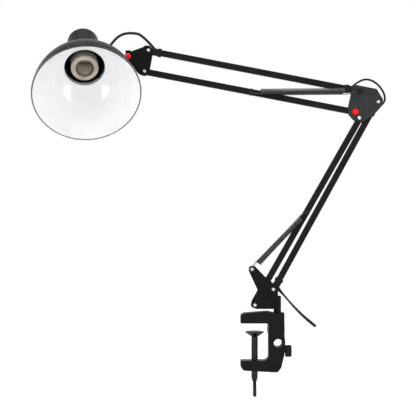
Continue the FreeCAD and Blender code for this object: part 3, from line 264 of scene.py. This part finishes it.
def painted(name, dark, light, rough, grain, depth, shine=0.3, edge=0.0, wear_and_sheen=None):
    """Paint or moulded plastic: blotches between two near colours, and a fine skin of bumps."""
    made = Finish(name, Specular_IOR_Level=shine)
    blotch = made.spread(made.noise(14 * MM, 4), 0.0, 1.0)
    colour = made.mixed(blotch, dark, light)
    # Edges lighten here, partly as wear and partly as a painted highlight.
    if wear_and_sheen:
        colour = made.edge_wear_and_sheen(colour, wear_and_sheen, edge)
    made.colour(colour)
    made.roughness(made.spread(made.noise(5 * MM, 5), rough[0], rough[1]))
    made.bump(made.noise(grain, 2), depth, 0.6, edge)
    return made.material


def metal(name, dark, light, rough, squash=(1, 1, 1), edge=0.0):
    """Bare or plated metal with fine marks, drawn out along an axis by squash."""
    made = Finish(name, Metallic=1.0)
    made.colour(made.mixed(made.spread(made.noise(3 * MM, 5, 0.6, squash), 0.0, 1.0), dark, light))
    made.roughness(made.spread(made.noise(1.2 * MM, 4, 0.6, squash), rough[0], rough[1]))
    made.bump(made.noise(0.5 * MM, 2, 0.5, squash), 0.01 * MM, 0.5, edge)
    return made.material


# The last colour given to the clamp and plate paints lightens their edges, partly as wear and partly as a
# painted highlight.
cast_black = painted("cast clamp paint", (0.0050, 0.0047, 0.0054), (0.0078, 0.0075, 0.0083), (0.36, 0.48),
                     0.9 * MM, 0.05 * MM, 0.08, 0.7 * MM, (0.05, 0.05, 0.052))
plate_black = painted("plate paint", (0.0052, 0.0052, 0.0055), (0.0080, 0.0080, 0.0085), (0.30, 0.42),
                      0.6 * MM, 0.02 * MM, 0.05, 0.4 * MM, (0.020, 0.020, 0.021))
# The elbow plates are the same black sheet as the other plates; their lighter grey is painted light.
elbow_plate_painted_light = painted("plate paint lightened as painted light", (0.0200, 0.0200, 0.0215), (0.0275, 0.0275, 0.0290), (0.34, 0.46),
                     0.6 * MM, 0.02 * MM, 0.12, 0.4 * MM, (0.07, 0.07, 0.072))
bar_black = painted("bar enamel", (0.0062, 0.0062, 0.0068), (0.0095, 0.0095, 0.0103), (0.27, 0.38),
                    1.1 * MM, 0.015 * MM, 0.08, 0.5 * MM)
moulded_black = painted("moulded black plastic", (0.0070, 0.0070, 0.0075), (0.0100, 0.0100, 0.0108),
                        (0.34, 0.46), 0.4 * MM, 0.012 * MM, 0.10, 0.4 * MM)
shade_black = painted("shade enamel", (0.0046, 0.0044, 0.0050), (0.0062, 0.0060, 0.0067), (0.26, 0.34),
                      1.4 * MM, 0.010 * MM, 0.035)
housing_black = painted("housing enamel", (0.0040, 0.0039, 0.0042), (0.0056, 0.0055, 0.0058), (0.26, 0.36),
                        1.2 * MM, 0.012 * MM, 0.04, 0.5 * MM)
shade_white = painted("white reflector enamel", (0.82, 0.82, 0.83), (0.85, 0.85, 0.858), (0.08, 0.11),
                      2.0 * MM, 0.004 * MM, 1.0)
# The inner neck is white enamel; its bluish grey here is painted shade.
neck_painted_shade = painted("white neck with painted shade", (0.62, 0.66, 0.74), (0.78, 0.82, 0.89), (0.30, 0.42),
                     1.2 * MM, 0.02 * MM, 0.4)
red_gloss = painted("red cap plastic", (0.60, 0.002, 0.006), (0.76, 0.004, 0.010), (0.16, 0.24),
                    0.8 * MM, 0.008 * MM, 0.2, 0.4 * MM)
cord_black = painted("cord sheath", (0.0080, 0.0080, 0.0085), (0.0125, 0.0125, 0.0130), (0.36, 0.50),
                     0.35 * MM, 0.012 * MM, 0.18)
porcelain = painted("glazed porcelain", (0.34, 0.285, 0.235), (0.46, 0.40, 0.335), (0.12, 0.24),
                    0.8 * MM, 0.02 * MM, 0.5, 0.5 * MM)
zinc = metal("zinc plate", (0.50, 0.50, 0.49), (0.72, 0.72, 0.71), (0.24, 0.40), edge=0.3 * MM)
blued_steel = metal("blued steel", (0.018, 0.018, 0.020), (0.036, 0.036, 0.040), (0.30, 0.46),
                    edge=0.4 * MM)
spring_dark = metal("spring wire, oiled", (0.035, 0.035, 0.037), (0.080, 0.080, 0.084), (0.26, 0.40))
spring_light = metal("spring wire, plated", (0.42, 0.42, 0.42), (0.62, 0.62, 0.61), (0.22, 0.34))
shell_brass = metal("plated brass", (0.50, 0.46, 0.40), (0.80, 0.77, 0.71), (0.08, 0.18))
blade_brass = metal("brass blade", (0.62, 0.47, 0.22), (0.78, 0.61, 0.32), (0.20, 0.34),
                    (1, 0.15, 1), edge=0.3 * MM)


BASE_REAR_PIVOT, BASE_FRONT_PIVOT = (-6.80, 55.00), (-36.67, 29.62)
ELBOW_REAR_PIVOT = (162.98, 358.78)
HEAD_TOP_PIVOT, HEAD_BOTTOM_PIVOT = (-209.19, 442.24), (-215.62, 408.25)
FRONT_STUD = (-41.77, 88.12)
BRIGHT_TO = 2.2 * MM, 2.6 * MM      # from a rivet's axis, where the bare steel fades into paint


def rivet_finish(centres):
    """Bright steel near each rivet's axis, and black paint on the rest of its head.

    The distance runs in the plane of the arms only, from Object coordinates with Y left out.
    """
    made = Finish("riveted steel")
    flat = made.node("ShaderNodeVectorMath", operation="MULTIPLY")
    flat.inputs[1].default_value = (1, 0, 1)
    made.link(made.place, flat.inputs[0])
    nearest_so_far = None
    for x, z in centres:
        distance = made.node("ShaderNodeVectorMath", operation="DISTANCE")
        distance.inputs[1].default_value = tuple(at(x, 0, z))
        made.link(flat.outputs["Vector"], distance.inputs[0])
        if nearest_so_far is None:
            nearest_so_far = distance.outputs["Value"]
        else:
            least = made.node("ShaderNodeMath", operation="MINIMUM")
            made.link(nearest_so_far, least.inputs[0])
            made.link(distance.outputs["Value"], least.inputs[1])
            nearest_so_far = least.outputs["Value"]
    bright = made.spread(nearest_so_far, 1.0, 0.0, *BRIGHT_TO)
    blotch = made.spread(made.noise(2 * MM, 4), 0.0, 1.0)
    steel = made.mixed(blotch, (0.50, 0.50, 0.49), (0.74, 0.74, 0.73))
    made.colour(made.mixed(bright, (0.010, 0.010, 0.011), steel))
    made.link(bright, made.shader.inputs["Metallic"])
    made.roughness(made.spread(made.noise(1.0 * MM, 4), 0.26, 0.42))
    made.bump(made.noise(0.5 * MM, 2), 0.01 * MM, 0.5, 0.3 * MM)
    return made.material


rivet_steel = rivet_finish([BASE_REAR_PIVOT, BASE_FRONT_PIVOT, ELBOW_REAR_PIVOT, HEAD_TOP_PIVOT,
                            HEAD_BOTTOM_PIVOT, FRONT_STUD])


# ---------------------------------------------------------------- cord

CORD_WIDE, CORD_THICK = 5.2 * MM, 3.2 * MM
LOOP_WIDE, LOOP_THICK = 4.4 * MM, 3.2 * MM


def lead_line(points):
    """The smooth line of a route: a NURBS curve of order 3 on the route's points, read back."""
    curve = bpy.data.curves.new("lead line", "CURVE")
    curve.dimensions = "3D"
    spline = curve.splines.new("NURBS")
    spline.points.add(len(points) - 1)
    spline.points.foreach_set("co", np.c_[points, np.ones(len(points))].ravel())
    spline.order_u = 3
    spline.use_endpoint_u = True
    spline.resolution_u = 12
    holder = bpy.data.objects.new("lead line", curve)
    mesh = bpy.data.meshes.new_from_object(holder)
    line = np.empty(3 * len(mesh.vertices))
    mesh.vertices.foreach_get("co", line)
    bpy.data.meshes.remove(mesh)
    bpy.data.objects.remove(holder)
    bpy.data.curves.remove(curve)
    return line.reshape(-1, 3)


def twin_outline(wide, thick, count=24):
    """Two round wires side by side under one sheath, with a groove between.

    At angle a the edge is c |cos a| + sqrt(r^2 - (c sin a)^2) from the middle, where r is half the
    thickness and c is half the width less r.
    """
    turn = np.arange(count) * 2 * math.pi / count
    r = thick / 2
    c = wide / 2 - r
    reach = c * abs(np.cos(turn)) + np.sqrt(r ** 2 - (c * np.sin(turn)) ** 2)
    return reach[:, None] * np.stack([np.cos(turn), np.sin(turn)], axis=-1)


def nearest(line, point):
    """The number of the line's point that lies nearest to a point."""
    return int(np.argmin(((line - point) ** 2).sum(1)))


def lead_pieces(names, points, wides, wide, thick, cuts=()):
    """Lengths of flat twin lead along one route, cut at the points given. Returns pieces and lines.

    wides holds the direction of the flat side at each of the route's points, and is drawn out
    evenly between them.
    """
    line = lead_line(points)
    share = np.linspace(0, len(points) - 1, len(line))
    stops, wides = np.arange(len(points)), np.asarray(wides)
    flat = np.stack([np.interp(share, stops, wides[:, i]) for i in range(3)], axis=-1)
    grid = swept(line, flat, twin_outline(wide, thick))
    ends = [0] + [nearest(line, cut) for cut in cuts] + [len(line) - 1]
    made = []
    for name, first, last in zip(names, ends, ends[1:]):
        piece = surface(name, grid[first:last + 1], [cord_black])
        made.append((piece, line[first:last + 1]))
    return made


def middle_of(a, b):
    return (a + b) / 2


PORT_BASE = at(1.518, 0, 58.134)
SUPPLY = [at(*p) for p in (
    (9.2, 0, 46.6), (24.3, 0, 29.3), (40.3, 0, 12.6), (54.2, 0, 0.9), (62.1, 10.2, -5.7),
    (64.0, 24.7, -8.0), (57.1, 35, -2.4), (42.7, 36, 9.9), (26.5, 37, 26.7), (11.3, 39, 44.3),
    (-3.0, 43, 56.5), (-15.0, 49, 55.5), (-19.5, 56, 43.0), (-12.5, 62, 30.5), (0.5, 65, 19.5))]
HANK_LOOPS, HANK_PITCH, HANK_FOLD, HANK_RUN = 8, 5.7 * MM, 10.4 * MM, 52 * MM
HANK_FRONT, HANK_LEAN = at(-1.3, 17.4, -26.0), np.array([0.056, 1.0, -0.085])
TAIL = [at(*p) for p in ((-16, 18.4, -66), (-30, 30, -70), (-34, 46, -72.6))]
PLUG_WAY = unit([0.04, 1.0, -0.125])
PLUG_AT = TAIL[-1] + np.array([0.04, 1.0, -0.125]) * 6 * MM


def hank_middle(loop):
    """The middle of a loop of the hank, counted from the front."""
    return HANK_FRONT + HANK_LEAN * (HANK_PITCH * loop)


def fold_points(middle, above):
    """Six points round one fold of the hank, outside its arc by 1 / cos 15 degrees."""
    turn = np.radians(np.arange(15, 180, 30))
    reach = HANK_FOLD / math.cos(math.radians(15))
    side = 1 if above < 0 else -1
    return [middle + reach * (side * math.cos(t) * X + math.copysign(math.sin(t), above) * Z)
            + above * HANK_RUN / 2 * Z for t in turn]


def hank_points():
    """The hank's turns from back to front: folds that are level and runs that climb half a pitch."""
    points = [hank_middle(HANK_LOOPS) + HANK_FOLD * X + z * Z for z in (HANK_RUN / 2, HANK_RUN / 6)]
    for loop in range(HANK_LOOPS, 0, -1):
        low, high = hank_middle(loop - 0.5), hank_middle(loop - 1)
        points += [low + HANK_FOLD * X - HANK_RUN / 6 * Z] + fold_points(low, -1)
        points += [low - HANK_FOLD * X - HANK_RUN / 6 * Z, high - HANK_FOLD * X + HANK_RUN / 6 * Z]
        points += fold_points(high, 1) + [high + HANK_FOLD * X + HANK_RUN / 6 * Z]
    points += [HANK_FRONT + HANK_FOLD * X - HANK_RUN / 6 * Z] + fold_points(HANK_FRONT, -1)[:3]
    return points


hank_start = hank_middle(HANK_LOOPS) + HANK_FOLD * X + HANK_RUN / 2 * Z
supply_route = [PORT_BASE] + SUPPLY + [hank_start + 9 * MM * Z, hank_start]
supply_twist = [unit(way) for way in ([0.3, 1, 0.3], [0.7, 0.8, 0.7], [0.8, 0.3, 0.8], [0.7, 0, 0.7],
                                      [0.7, 0.3, 0.7], [0.5, 0.8, 0.5])]
supply_wides = [Y, Y] + supply_twist + [Y] * 10
supply_cut = middle_of(SUPPLY[1], SUPPLY[2])
(supply_near, near_line), (supply_far, far_line) = lead_pieces(
    ("supply_lead_bar", "supply_lead_post"), supply_route, supply_wides, CORD_WIDE, CORD_THICK,
    [supply_cut])
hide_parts("supply_cord_a")
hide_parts("supply_cord_b")
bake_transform(supply_near)
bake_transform(supply_far)

hank_route = hank_points()
tail_route = [at(-9.5, 17.6, -64.2)] + TAIL + [PLUG_AT]
hank_wides = [Y] * len(hank_route) + [Y, unit([0.2, 1, 0.4]), unit([1, -0.3, 0.2]), X, X]
(hank, hank_line), = lead_pieces(("supply_lead_hank",), hank_route + tail_route, hank_wides, CORD_WIDE,
                                 CORD_THICK)
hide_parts("cord_hank")
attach(hank, "clamp")

GLAND_TIP = at(-273.029, 8.223, 450.989)
PORT_HEAD = at(-199.075, 0.553, 444.850)
HEAD_LOOP = [at(*p) for p in (
    (-264.5, 8, 462.5), (-252.5, 6.5, 470.6), (-236.5, 5, 472.3), (-219.5, 3, 468.9))]
head_cuts = [middle_of(HEAD_LOOP[0], HEAD_LOOP[1]), middle_of(HEAD_LOOP[2], HEAD_LOOP[3])]
head_leads = lead_pieces(
    ("head_lead_shade", "head_lead_knuckle", "head_lead_arm"), [GLAND_TIP] + HEAD_LOOP + [PORT_HEAD],
    [unit([-1, 0, 0.8]), unit([-1, 0, 1.1]), unit([-0.4, 0, 1]), Z, unit([0.5, 0, 1]), unit([1, 0, 0.7])],
    LOOP_WIDE, LOOP_THICK, head_cuts)
for (piece, line), node, bodies in zip(
        head_leads, ("head_cord_a", "head_cord_b", "head_cord_c"),
        (("head", "knuckle"), ("knuckle", "head_bracket"), ("head_bracket", "upper_top_bar"))):
    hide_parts(node)
    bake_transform(piece)

PORT_ELBOW_HIGH, PORT_ELBOW_LOW = at(120.862, 0, 383.506), at(160.298, 0, 347.122)
ELBOW_LOOP = [at(*p) for p in (
    (134.6, 0, 395.2), (151.0, 0, 396.2), (165.5, 0, 386.4), (175.2, 0, 370.6), (174.3, 0, 356.2))]
elbow_leads = lead_pieces(
    ("elbow_lead_upper", "elbow_lead_lower"), [PORT_ELBOW_HIGH] + ELBOW_LOOP + [PORT_ELBOW_LOW], [Y] * 7,
    LOOP_WIDE, LOOP_THICK, [middle_of(ELBOW_LOOP[1], ELBOW_LOOP[2])])
for (piece, line), node, bodies in zip(
        elbow_leads, ("elbow_cord_a", "elbow_cord_b"),
        (("upper_top_bar", "elbow"), ("elbow", "lower_rear_bar"))):
    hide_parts(node)
    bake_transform(piece)

for name, node, body, route in (
        ("lower_bar_lead", "lower_lead", "lower_rear_bar",
         (PORT_BASE, at(-1.285, 0, 62.343), at(1.9, 0, 68.1), at(149.0, 0, 336.2), at(152.214, 0, 341.879),
          PORT_ELBOW_LOW)),
        ("upper_bar_lead", "upper_lead", "upper_top_bar",
         (PORT_ELBOW_HIGH, at(116.474, 0, 379.770), at(110.6, 0, 380.9), at(-188.4, 0, 438.3),
          at(-194.456, 0, 439.427), PORT_HEAD))):
    (piece, line), = lead_pieces((name,), route, [Y] * 6, 3.8 * MM, 2.4 * MM)
    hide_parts(node)
    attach(piece, body)


# ---------------------------------------------------------------- springs

SPRING_WIRE, CURL_RADIUS = 1.3 * MM, 3.85 * MM
STUD_RADIUS, EYE_ROOM = 2.0 * MM, 0.15 * MM
EYE_POINTS = 20


def spring_rows(first, last, y, turns, hook_first, hook_last, wire, radius):
    """A close-wound spring between two studs as rings of points along its wire.

    With u from stud to stud, w along Y and v = w x u, each eye is first + h (cos p u + sin p v),
    the bare wire runs along u at -h v to the coil, and the coil is at distance s along u with
    radius * (-cos t v + sin t w), t growing evenly with s. The rings are square to that line.
    """
    p0, p1 = at(first[0], y, first[1]), at(last[0], y, last[1])
    length = np.linalg.norm(p1 - p0)
    u = (p1 - p0) / length
    w = Y
    v = np.cross(w, u)
    eye = STUD_RADIUS + wire / 2 + EYE_ROOM
    start = np.radians(np.linspace(-385, -90, EYE_POINTS))
    end = np.radians(np.linspace(-90, 205, EYE_POINTS))
    count = int(turns * 16)
    turn = np.linspace(0, 2 * math.pi * turns, count + 1)
    step = np.linspace(hook_first, length - hook_last, count + 1)
    ease = np.linspace(0, 1, 8)[1:-1]
    bare_in = p0 + np.outer(ease * hook_first, u) - np.outer(eye + (radius - eye) * ease ** 2, v)
    left = 1 - ease
    bare_out = p1 - np.outer(left * hook_last, u) - np.outer(eye + (radius - eye) * left ** 2, v)
    out = np.outer(-np.cos(turn), v) + np.outer(np.sin(turn), w)
    eye_in = np.outer(np.cos(start), u) + np.outer(np.sin(start), v)
    eye_out = np.outer(np.cos(end), u) + np.outer(np.sin(end), v)
    line = np.vstack([p0 + eye * eye_in, bare_in, p0 + np.outer(step, u) + radius * out, bare_out,
                      p1 + eye * eye_out])
    face = np.vstack([eye_in, np.tile(-v, (6, 1)), out, np.tile(-v, (6, 1)), eye_out])
    return p0, p1, line, swept(line, face, circle_outline(wire / 2, 7))


def spring_pieces(name, node, first, last, y, paint, turns, hooks, share):
    """One spring in three lengths, cut at the points that share gives.

    share holds, for each cut, how far along it is and how far the bend has gone there; the second of these is
    not used.
    """
    p0, p1, line, rows = spring_rows(first, last, y, turns, *hooks, SPRING_WIRE, CURL_RADIUS)
    along = (line - p0) @ (p1 - p0) / ((p1 - p0) @ (p1 - p0))
    inner = np.arange(EYE_POINTS, len(line) - EYE_POINTS)
    middle_cuts = [int(inner[np.argmin(abs(along[inner] - f))]) for f, t in share[1:-1]]
    cuts = [0] + middle_cuts + [len(line) - 1]
    for i, part in enumerate(("low", "mid", "high")):
        piece = surface(f"{name}_{part}", rows[cuts[i]:cuts[i + 1] + 1], [paint])
        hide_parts(node)
        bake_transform(piece)


REAR_STUD, LOWER_PIN = (-38.77, 85.12), (47.24, 179.76)
UPPER_STUD, UPPER_PIN = (132.58, 376.68), (-42.77, 375.08)
LOWER_SHARE = ((0, 0), (0.10, 0.31), (0.25, 0.49), (1, 1))
UPPER_SHARE = ((0, 0), (0.08, 0.45), (0.25, 0.66), (1, 1))
LOWER_TURNS, LOWER_HOOKS = 61, (14 * MM, 14 * MM)
UPPER_TURNS, UPPER_HOOKS = 84, (24 * MM, 15 * MM)
SPRING_SIDES = (("front", -13.2), ("rear", 13.2))      # the springs' distance from the arms' plane
for (name, y), stud, paint in zip(SPRING_SIDES, (FRONT_STUD, REAR_STUD), (spring_dark, spring_light)):
    spring_pieces(f"lower_spring_{name}", "lower_springs", stud,
                  LOWER_PIN, y, paint, LOWER_TURNS, LOWER_HOOKS, LOWER_SHARE)
for name, y in SPRING_SIDES:
    spring_pieces(f"upper_spring_{name}", "upper_springs", UPPER_STUD,
                  UPPER_PIN, y, spring_dark, UPPER_TURNS, UPPER_HOOKS, UPPER_SHARE)


# ---------------------------------------------------------------- shade

MOUTH = at(-303.3, -70.0, 365.0)
HEAD_AXIS = unit([-0.115, 0.80, 0.589])
STEM_OUT = unit([0.9781268, -0.0122744, 0.2076470])


def shade_profile():
    """Radius and height of the spun bowl, in closed order, and the paint of each step of it.

    Outside and inside are arcs through rim, belly and neck, a sheet's thickness apart. The rim is
    rolled outwards over a wire, a circle round the rim's own edge.
    """
    outside = arc_points((86, 3.0), (74, 45), (34, 84), 44)
    inside = arc_points((33, 84), (73.1, 44.5), (85, 3.0), 44)
    roll = np.radians(np.linspace(150, 400, 12))
    bead = np.array([85.75, 1.35]) + 1.3 * np.stack([-np.cos(roll), -np.sin(roll)], axis=-1)[::-1]
    neck = [(34, 88), (34, 92.4), (33.7, 92.9), (33.2, 92.9), (33, 92.4), (33, 88)]
    rows = np.vstack([outside, neck, inside, bead[::-1]])
    # Paint 2, on the inner neck, is the white with painted shade.
    paint = np.array([0] * 44 + [0] * 4 + [2, 2] + [1] * 44 + [0] * 12)
    return rows * MM, paint


profile, paint = shade_profile()
shade = surface("bowl_shade", turned(profile, MOUTH, HEAD_AXIS, STEM_OUT, 144),
                [shade_black, shade_white, neck_painted_shade], paint, wrap_rows=True, sharp=50)
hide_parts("shade")
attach(shade, "head")


SHELL_FROM_MOUTH, SHELL_LENGTH = 89, 29
SHELL_RADIUS, SHELL_WALL = 13.45, 0.4
THREAD_PITCH, THREAD_DEPTH, THREAD_FADE = 3.6, 0.8, 1.5
FLARE_LENGTH, FLARE = 6.2, 1.9


def shell_rows():
    """The socket's screw shell, both walls: a thread behind a flared rim.

    The wall's radius at depth h and angle a is r - d k (1 - cos(2 pi h / pitch - a)) / 2, so its
    waves run round as a screw. k grows evenly from 0 to 1 over the first of the thread. In front
    of the thread, where h is under 0, the radius is r + f (-h / l)^0.6, with l the flare's length.
    """
    height = np.concatenate([np.linspace(-FLARE_LENGTH, -0.2, 12), np.linspace(0.3, SHELL_LENGTH, 110)])
    turn = np.arange(72) * 2 * math.pi / 72
    wave = 0.5 - 0.5 * np.cos(2 * math.pi * height[:, None] / THREAD_PITCH - turn[None])
    thread = np.clip(height / THREAD_FADE, 0, 1)[:, None]
    flare = FLARE * np.clip(-height / FLARE_LENGTH, 0, 1)[:, None] ** 0.6
    outer = SHELL_RADIUS + flare - THREAD_DEPTH * wave * thread
    radius = np.vstack([outer, (outer - SHELL_WALL)[::-1]])
    level = np.concatenate([height, height[::-1]]) + SHELL_FROM_MOUTH
    out = np.cos(turn)[:, None] * STEM_OUT + np.sin(turn)[:, None] * np.cross(HEAD_AXIS, STEM_OUT)
    return MOUTH + level[:, None, None] * MM * HEAD_AXIS + radius[..., None] * MM * out[None]


shell = surface("screw_shell", shell_rows(), [shell_brass], wrap_rows=True, sharp=60)
contact = surface("centre_contact", turned(
    [(2.2 * MM, 115 * MM), (2.5 * MM, 114.9 * MM), (4.6 * MM, 118.2 * MM), (4.9 * MM, 118.9 * MM)],
    MOUTH, HEAD_AXIS, STEM_OUT, 32)[::-1], [shell_brass])
for piece in (shell, contact):
    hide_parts("socket_contacts")
    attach(piece, "head")


# ---------------------------------------------------------------- tie and plug

def tie_rows():
    """A strap round all the runs of the hank: a flat band carried round an oblong ring.

    The ring's corners are quarter circles round the hank's four outermost runs, joined by
    straight lines.
    """
    front, rear = hank_middle(0), hank_middle(HANK_LOOPS)
    reach = CORD_WIDE / 2 + 0.9 * MM
    corner_turn = np.radians(np.linspace(0, 90, 7))
    middle_z = (front[2] + rear[2]) / 2 + 15 * MM
    side = HANK_FOLD
    points = []
    for centre, start in ((rear + side * X, 0), (rear - side * X, 90), (front - side * X, 180),
                          (front + side * X, 270)):
        turn = corner_turn + math.radians(start)
        points.append(np.stack([centre[0] + reach * np.cos(turn), centre[1] + reach * np.sin(turn),
                                np.full(7, middle_z)], axis=-1))
    line = np.vstack(points)
    line = np.vstack([line, line[:1]])
    step = np.linspace(0, 1, 6)[:, None, None]
    line = line[None, :-1] * (1 - step[:-1]) + line[None, 1:] * step[:-1]
    line = line.transpose(1, 0, 2).reshape(-1, 3)
    outline = MM * np.array([(-4.3, -0.5), (-3.9, -0.6), (3.9, -0.6), (4.3, -0.5),
                             (4.3, 0.5), (3.9, 0.6), (-3.9, 0.6), (-4.3, 0.5)])
    along = unit(np.roll(line, -1, axis=0) - np.roll(line, 1, axis=0))
    wide = np.tile(Z, (len(line), 1))
    thin = np.cross(along, wide)
    return line[:, None] + outline[..., 0:1] * wide[:, None] + outline[..., 1:2] * thin[:, None]


tie = surface("hank_tie", tie_rows(), [moulded_black], wrap_rows=True, sharp=50)
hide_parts("cord_tie")
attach(tie, "clamp")


def plug_rows():
    """The moulded plug: rounded oblongs along its way, from a ribbed strain relief to a flat grip.

    Each section's edge at angle a is (w |cos a|^(2/n), t |sin a|^(2/n)) with the signs of cos and
    sin, so n = 2 is an oval and n = 5 nearly an oblong.
    """
    stations = np.array([
        (0.0, 2.9, 2.1, 2), (0.6, 3.4, 2.6, 2), (3.0, 3.5, 2.7, 2), (3.3, 3.0, 2.2, 2), (4.3, 3.0, 2.2, 2),
        (4.6, 3.8, 3.0, 2), (7.0, 3.9, 3.1, 2), (7.3, 3.3, 2.5, 2), (8.3, 3.3, 2.5, 2), (8.6, 4.2, 3.4, 2),
        (11.0, 4.3, 3.5, 2), (11.3, 3.7, 2.9, 2), (12.3, 3.7, 2.9, 2), (12.6, 4.6, 3.8, 2),
        (16.0, 5.0, 4.2, 2.2), (19.0, 6.2, 4.8, 2.6), (21.5, 8.4, 5.2, 3.4), (24.0, 9.6, 5.4, 4.2),
        (28.0, 9.9, 5.2, 5), (31.0, 9.6, 4.7, 5), (34.0, 9.6, 4.7, 5), (37.0, 9.9, 5.3, 5),
        (42.6, 10.0, 5.5, 5), (43.6, 9.7, 5.2, 5), (44.0, 9.0, 4.6, 5)])
    turn = np.arange(48) * 2 * math.pi / 48
    power = 2 / stations[:, 3:4]
    x = stations[:, 1:2] * np.sign(np.cos(turn)) * abs(np.cos(turn)) ** power
    y = stations[:, 2:3] * np.sign(np.sin(turn)) * abs(np.sin(turn)) ** power
    across = unit(X - PLUG_WAY * (X @ PLUG_WAY))
    up = np.cross(PLUG_WAY, across)
    along = stations[:, 0, None, None] * PLUG_WAY
    return PLUG_AT + MM * (along + x[..., None] * across + y[..., None] * up)


plug = surface("plug_grip", plug_rows(), [moulded_black], sharp=38)
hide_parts("plug_body")
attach(plug, "clamp")


# ---------------------------------------------------------------- finishes of the CAD's own nodes

NODE_FINISHES = {
    cast_black: ("clamp_frame",),
    plate_black: ("bracket_plate_front", "bracket_plate_rear", "head_plate_front", "head_plate_rear",
                  "knuckle", "knuckle_nut", "collar", "swivel_post"),
    elbow_plate_painted_light: ("elbow_plate_front", "elbow_plate_rear"),
    bar_black: ("lower_rear_tube", "lower_front_tube", "upper_top_tube", "upper_bottom_tube"),
    moulded_black: ("lower_rear_sleeves", "upper_top_sleeves", "base_washers", "elbow_washers",
                    "head_washers", "lock_knob", "black_caps", "switch_body", "push_button",
                    "cord_gland"),
    housing_black: ("holder_housing", "rear_cap"),
    red_gloss: ("red_caps", "tilt_caps"),
    porcelain: ("ceramic_socket",),
    rivet_steel: ("base_rivets", "elbow_fasteners", "head_rivets", "spring_studs"),
    zinc: ("tilt_bolt",),
    blued_steel: ("clamp_pad", "clamp_screw", "screw_paddle", "elbow_eyelet", "lower_spring_pin",
                  "upper_spring_pin", "socket_bridge"),
    blade_brass: ("plug_blades",),
}
for finish, nodes in NODE_FINISHES.items():
    for node in nodes:
        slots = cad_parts[node].material_slots
        for slot in slots:
            slot.material = finish
        if not slots:
            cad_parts[node].data.materials.append(finish)


# ---------------------------------------------------------------- floor, light and background

def for_eye_and_gloss(tree, plain, white):
    """Mixes a white shader over a plain one for rays from the camera and from gloss and glass."""
    path = tree.nodes.new("ShaderNodeLightPath")
    first = tree.nodes.new("ShaderNodeMath")
    first.operation = "MAXIMUM"
    both = tree.nodes.new("ShaderNodeMath")
    both.operation = "MAXIMUM"
    tree.links.new(path.outputs["Is Camera Ray"], first.inputs[0])
    tree.links.new(path.outputs["Is Glossy Ray"], first.inputs[1])
    tree.links.new(first.outputs[0], both.inputs[0])
    tree.links.new(path.outputs["Is Transmission Ray"], both.inputs[1])
    mix = tree.nodes.new("ShaderNodeMixShader")
    tree.links.new(both.outputs[0], mix.inputs["Fac"])
    tree.links.new(plain, mix.inputs[1])
    tree.links.new(white, mix.inputs[2])
    return mix.outputs[0]


floor_paint = bpy.data.materials.new("pale floor")
floor_paint.use_nodes = True
tree = floor_paint.node_tree
plain = tree.nodes["Principled BSDF"]
plain.inputs["Base Color"].default_value = (0.80, 0.80, 0.80, 1)
plain.inputs["Roughness"].default_value = 0.9
plain.inputs["Specular IOR Level"].default_value = 0.1
glow = tree.nodes.new("ShaderNodeEmission")
glow.inputs["Strength"].default_value = 0.86
shown = tree.nodes.new("ShaderNodeAddShader")
dimmed = tree.nodes.new("ShaderNodeBsdfDiffuse")
dimmed.inputs["Color"].default_value = (0.18, 0.18, 0.18, 1)
tree.links.new(glow.outputs[0], shown.inputs[0])
tree.links.new(dimmed.outputs[0], shown.inputs[1])
tree.links.new(for_eye_and_gloss(tree, plain.outputs[0], shown.outputs[0]),
               tree.nodes["Material Output"].inputs["Surface"])
floor_mesh = bpy.data.meshes.new("floor")
FLOOR_Z, FLOOR_REACH = -0.1285, 30
floor_corners = [(x * FLOOR_REACH, y * FLOOR_REACH, FLOOR_Z) for x, y in ((-1, -1), (1, -1), (1, 1), (-1, 1))]
floor_mesh.from_pydata(floor_corners, [], [(0, 1, 2, 3)])
floor_mesh.materials.append(floor_paint)
floor = bpy.data.objects.new("floor", floor_mesh)
bpy.context.scene.collection.objects.link(floor)

world = bpy.data.worlds.new("studio")
world.use_nodes = True
tree = world.node_tree
ambient = tree.nodes["Background"]
ambient.inputs["Color"].default_value = (1, 1, 1, 1)
ambient.inputs["Strength"].default_value = 1.05
white = tree.nodes.new("ShaderNodeBackground")
white.inputs["Color"].default_value = (1, 1, 1, 1)
white.inputs["Strength"].default_value = 1.0
tree.links.new(for_eye_and_gloss(tree, ambient.outputs[0], white.outputs[0]),
               tree.nodes["World Output"].inputs["Surface"])
bpy.context.scene.world = world


def softbox(name, place, target, width, height, power):
    """A rectangular lamp that looks from place to target."""
    lamp = bpy.data.lights.new(name, "AREA")
    lamp.shape = "RECTANGLE"
    lamp.size, lamp.size_y = width, height
    lamp.energy = power
    holder = bpy.data.objects.new(name, lamp)
    way = unit(np.subtract(target, place))
    right = unit(np.cross(way, Z))
    turn = np.eye(4)
    turn[:3, 0], turn[:3, 1], turn[:3, 2], turn[:3, 3] = right, np.cross(right, way), -way, place
    holder.matrix_world = Matrix(turn.tolist())
    bpy.context.scene.collection.objects.link(holder)


softbox("left softbox", (-1.7, -1.5, 1.0), (-0.15, 0, 0.25), 0.9, 2.8, 26)
softbox("right softbox", (1.5, -1.3, 0.9), (-0.1, 0, 0.25), 0.8, 2.8, 20)
softbox("top softbox", (-0.1, 0.3, 2.0), (-0.1, 0, 0.2), 1.6, 1.2, 14)

bpy.context.scene.view_settings.view_transform = "Standard"
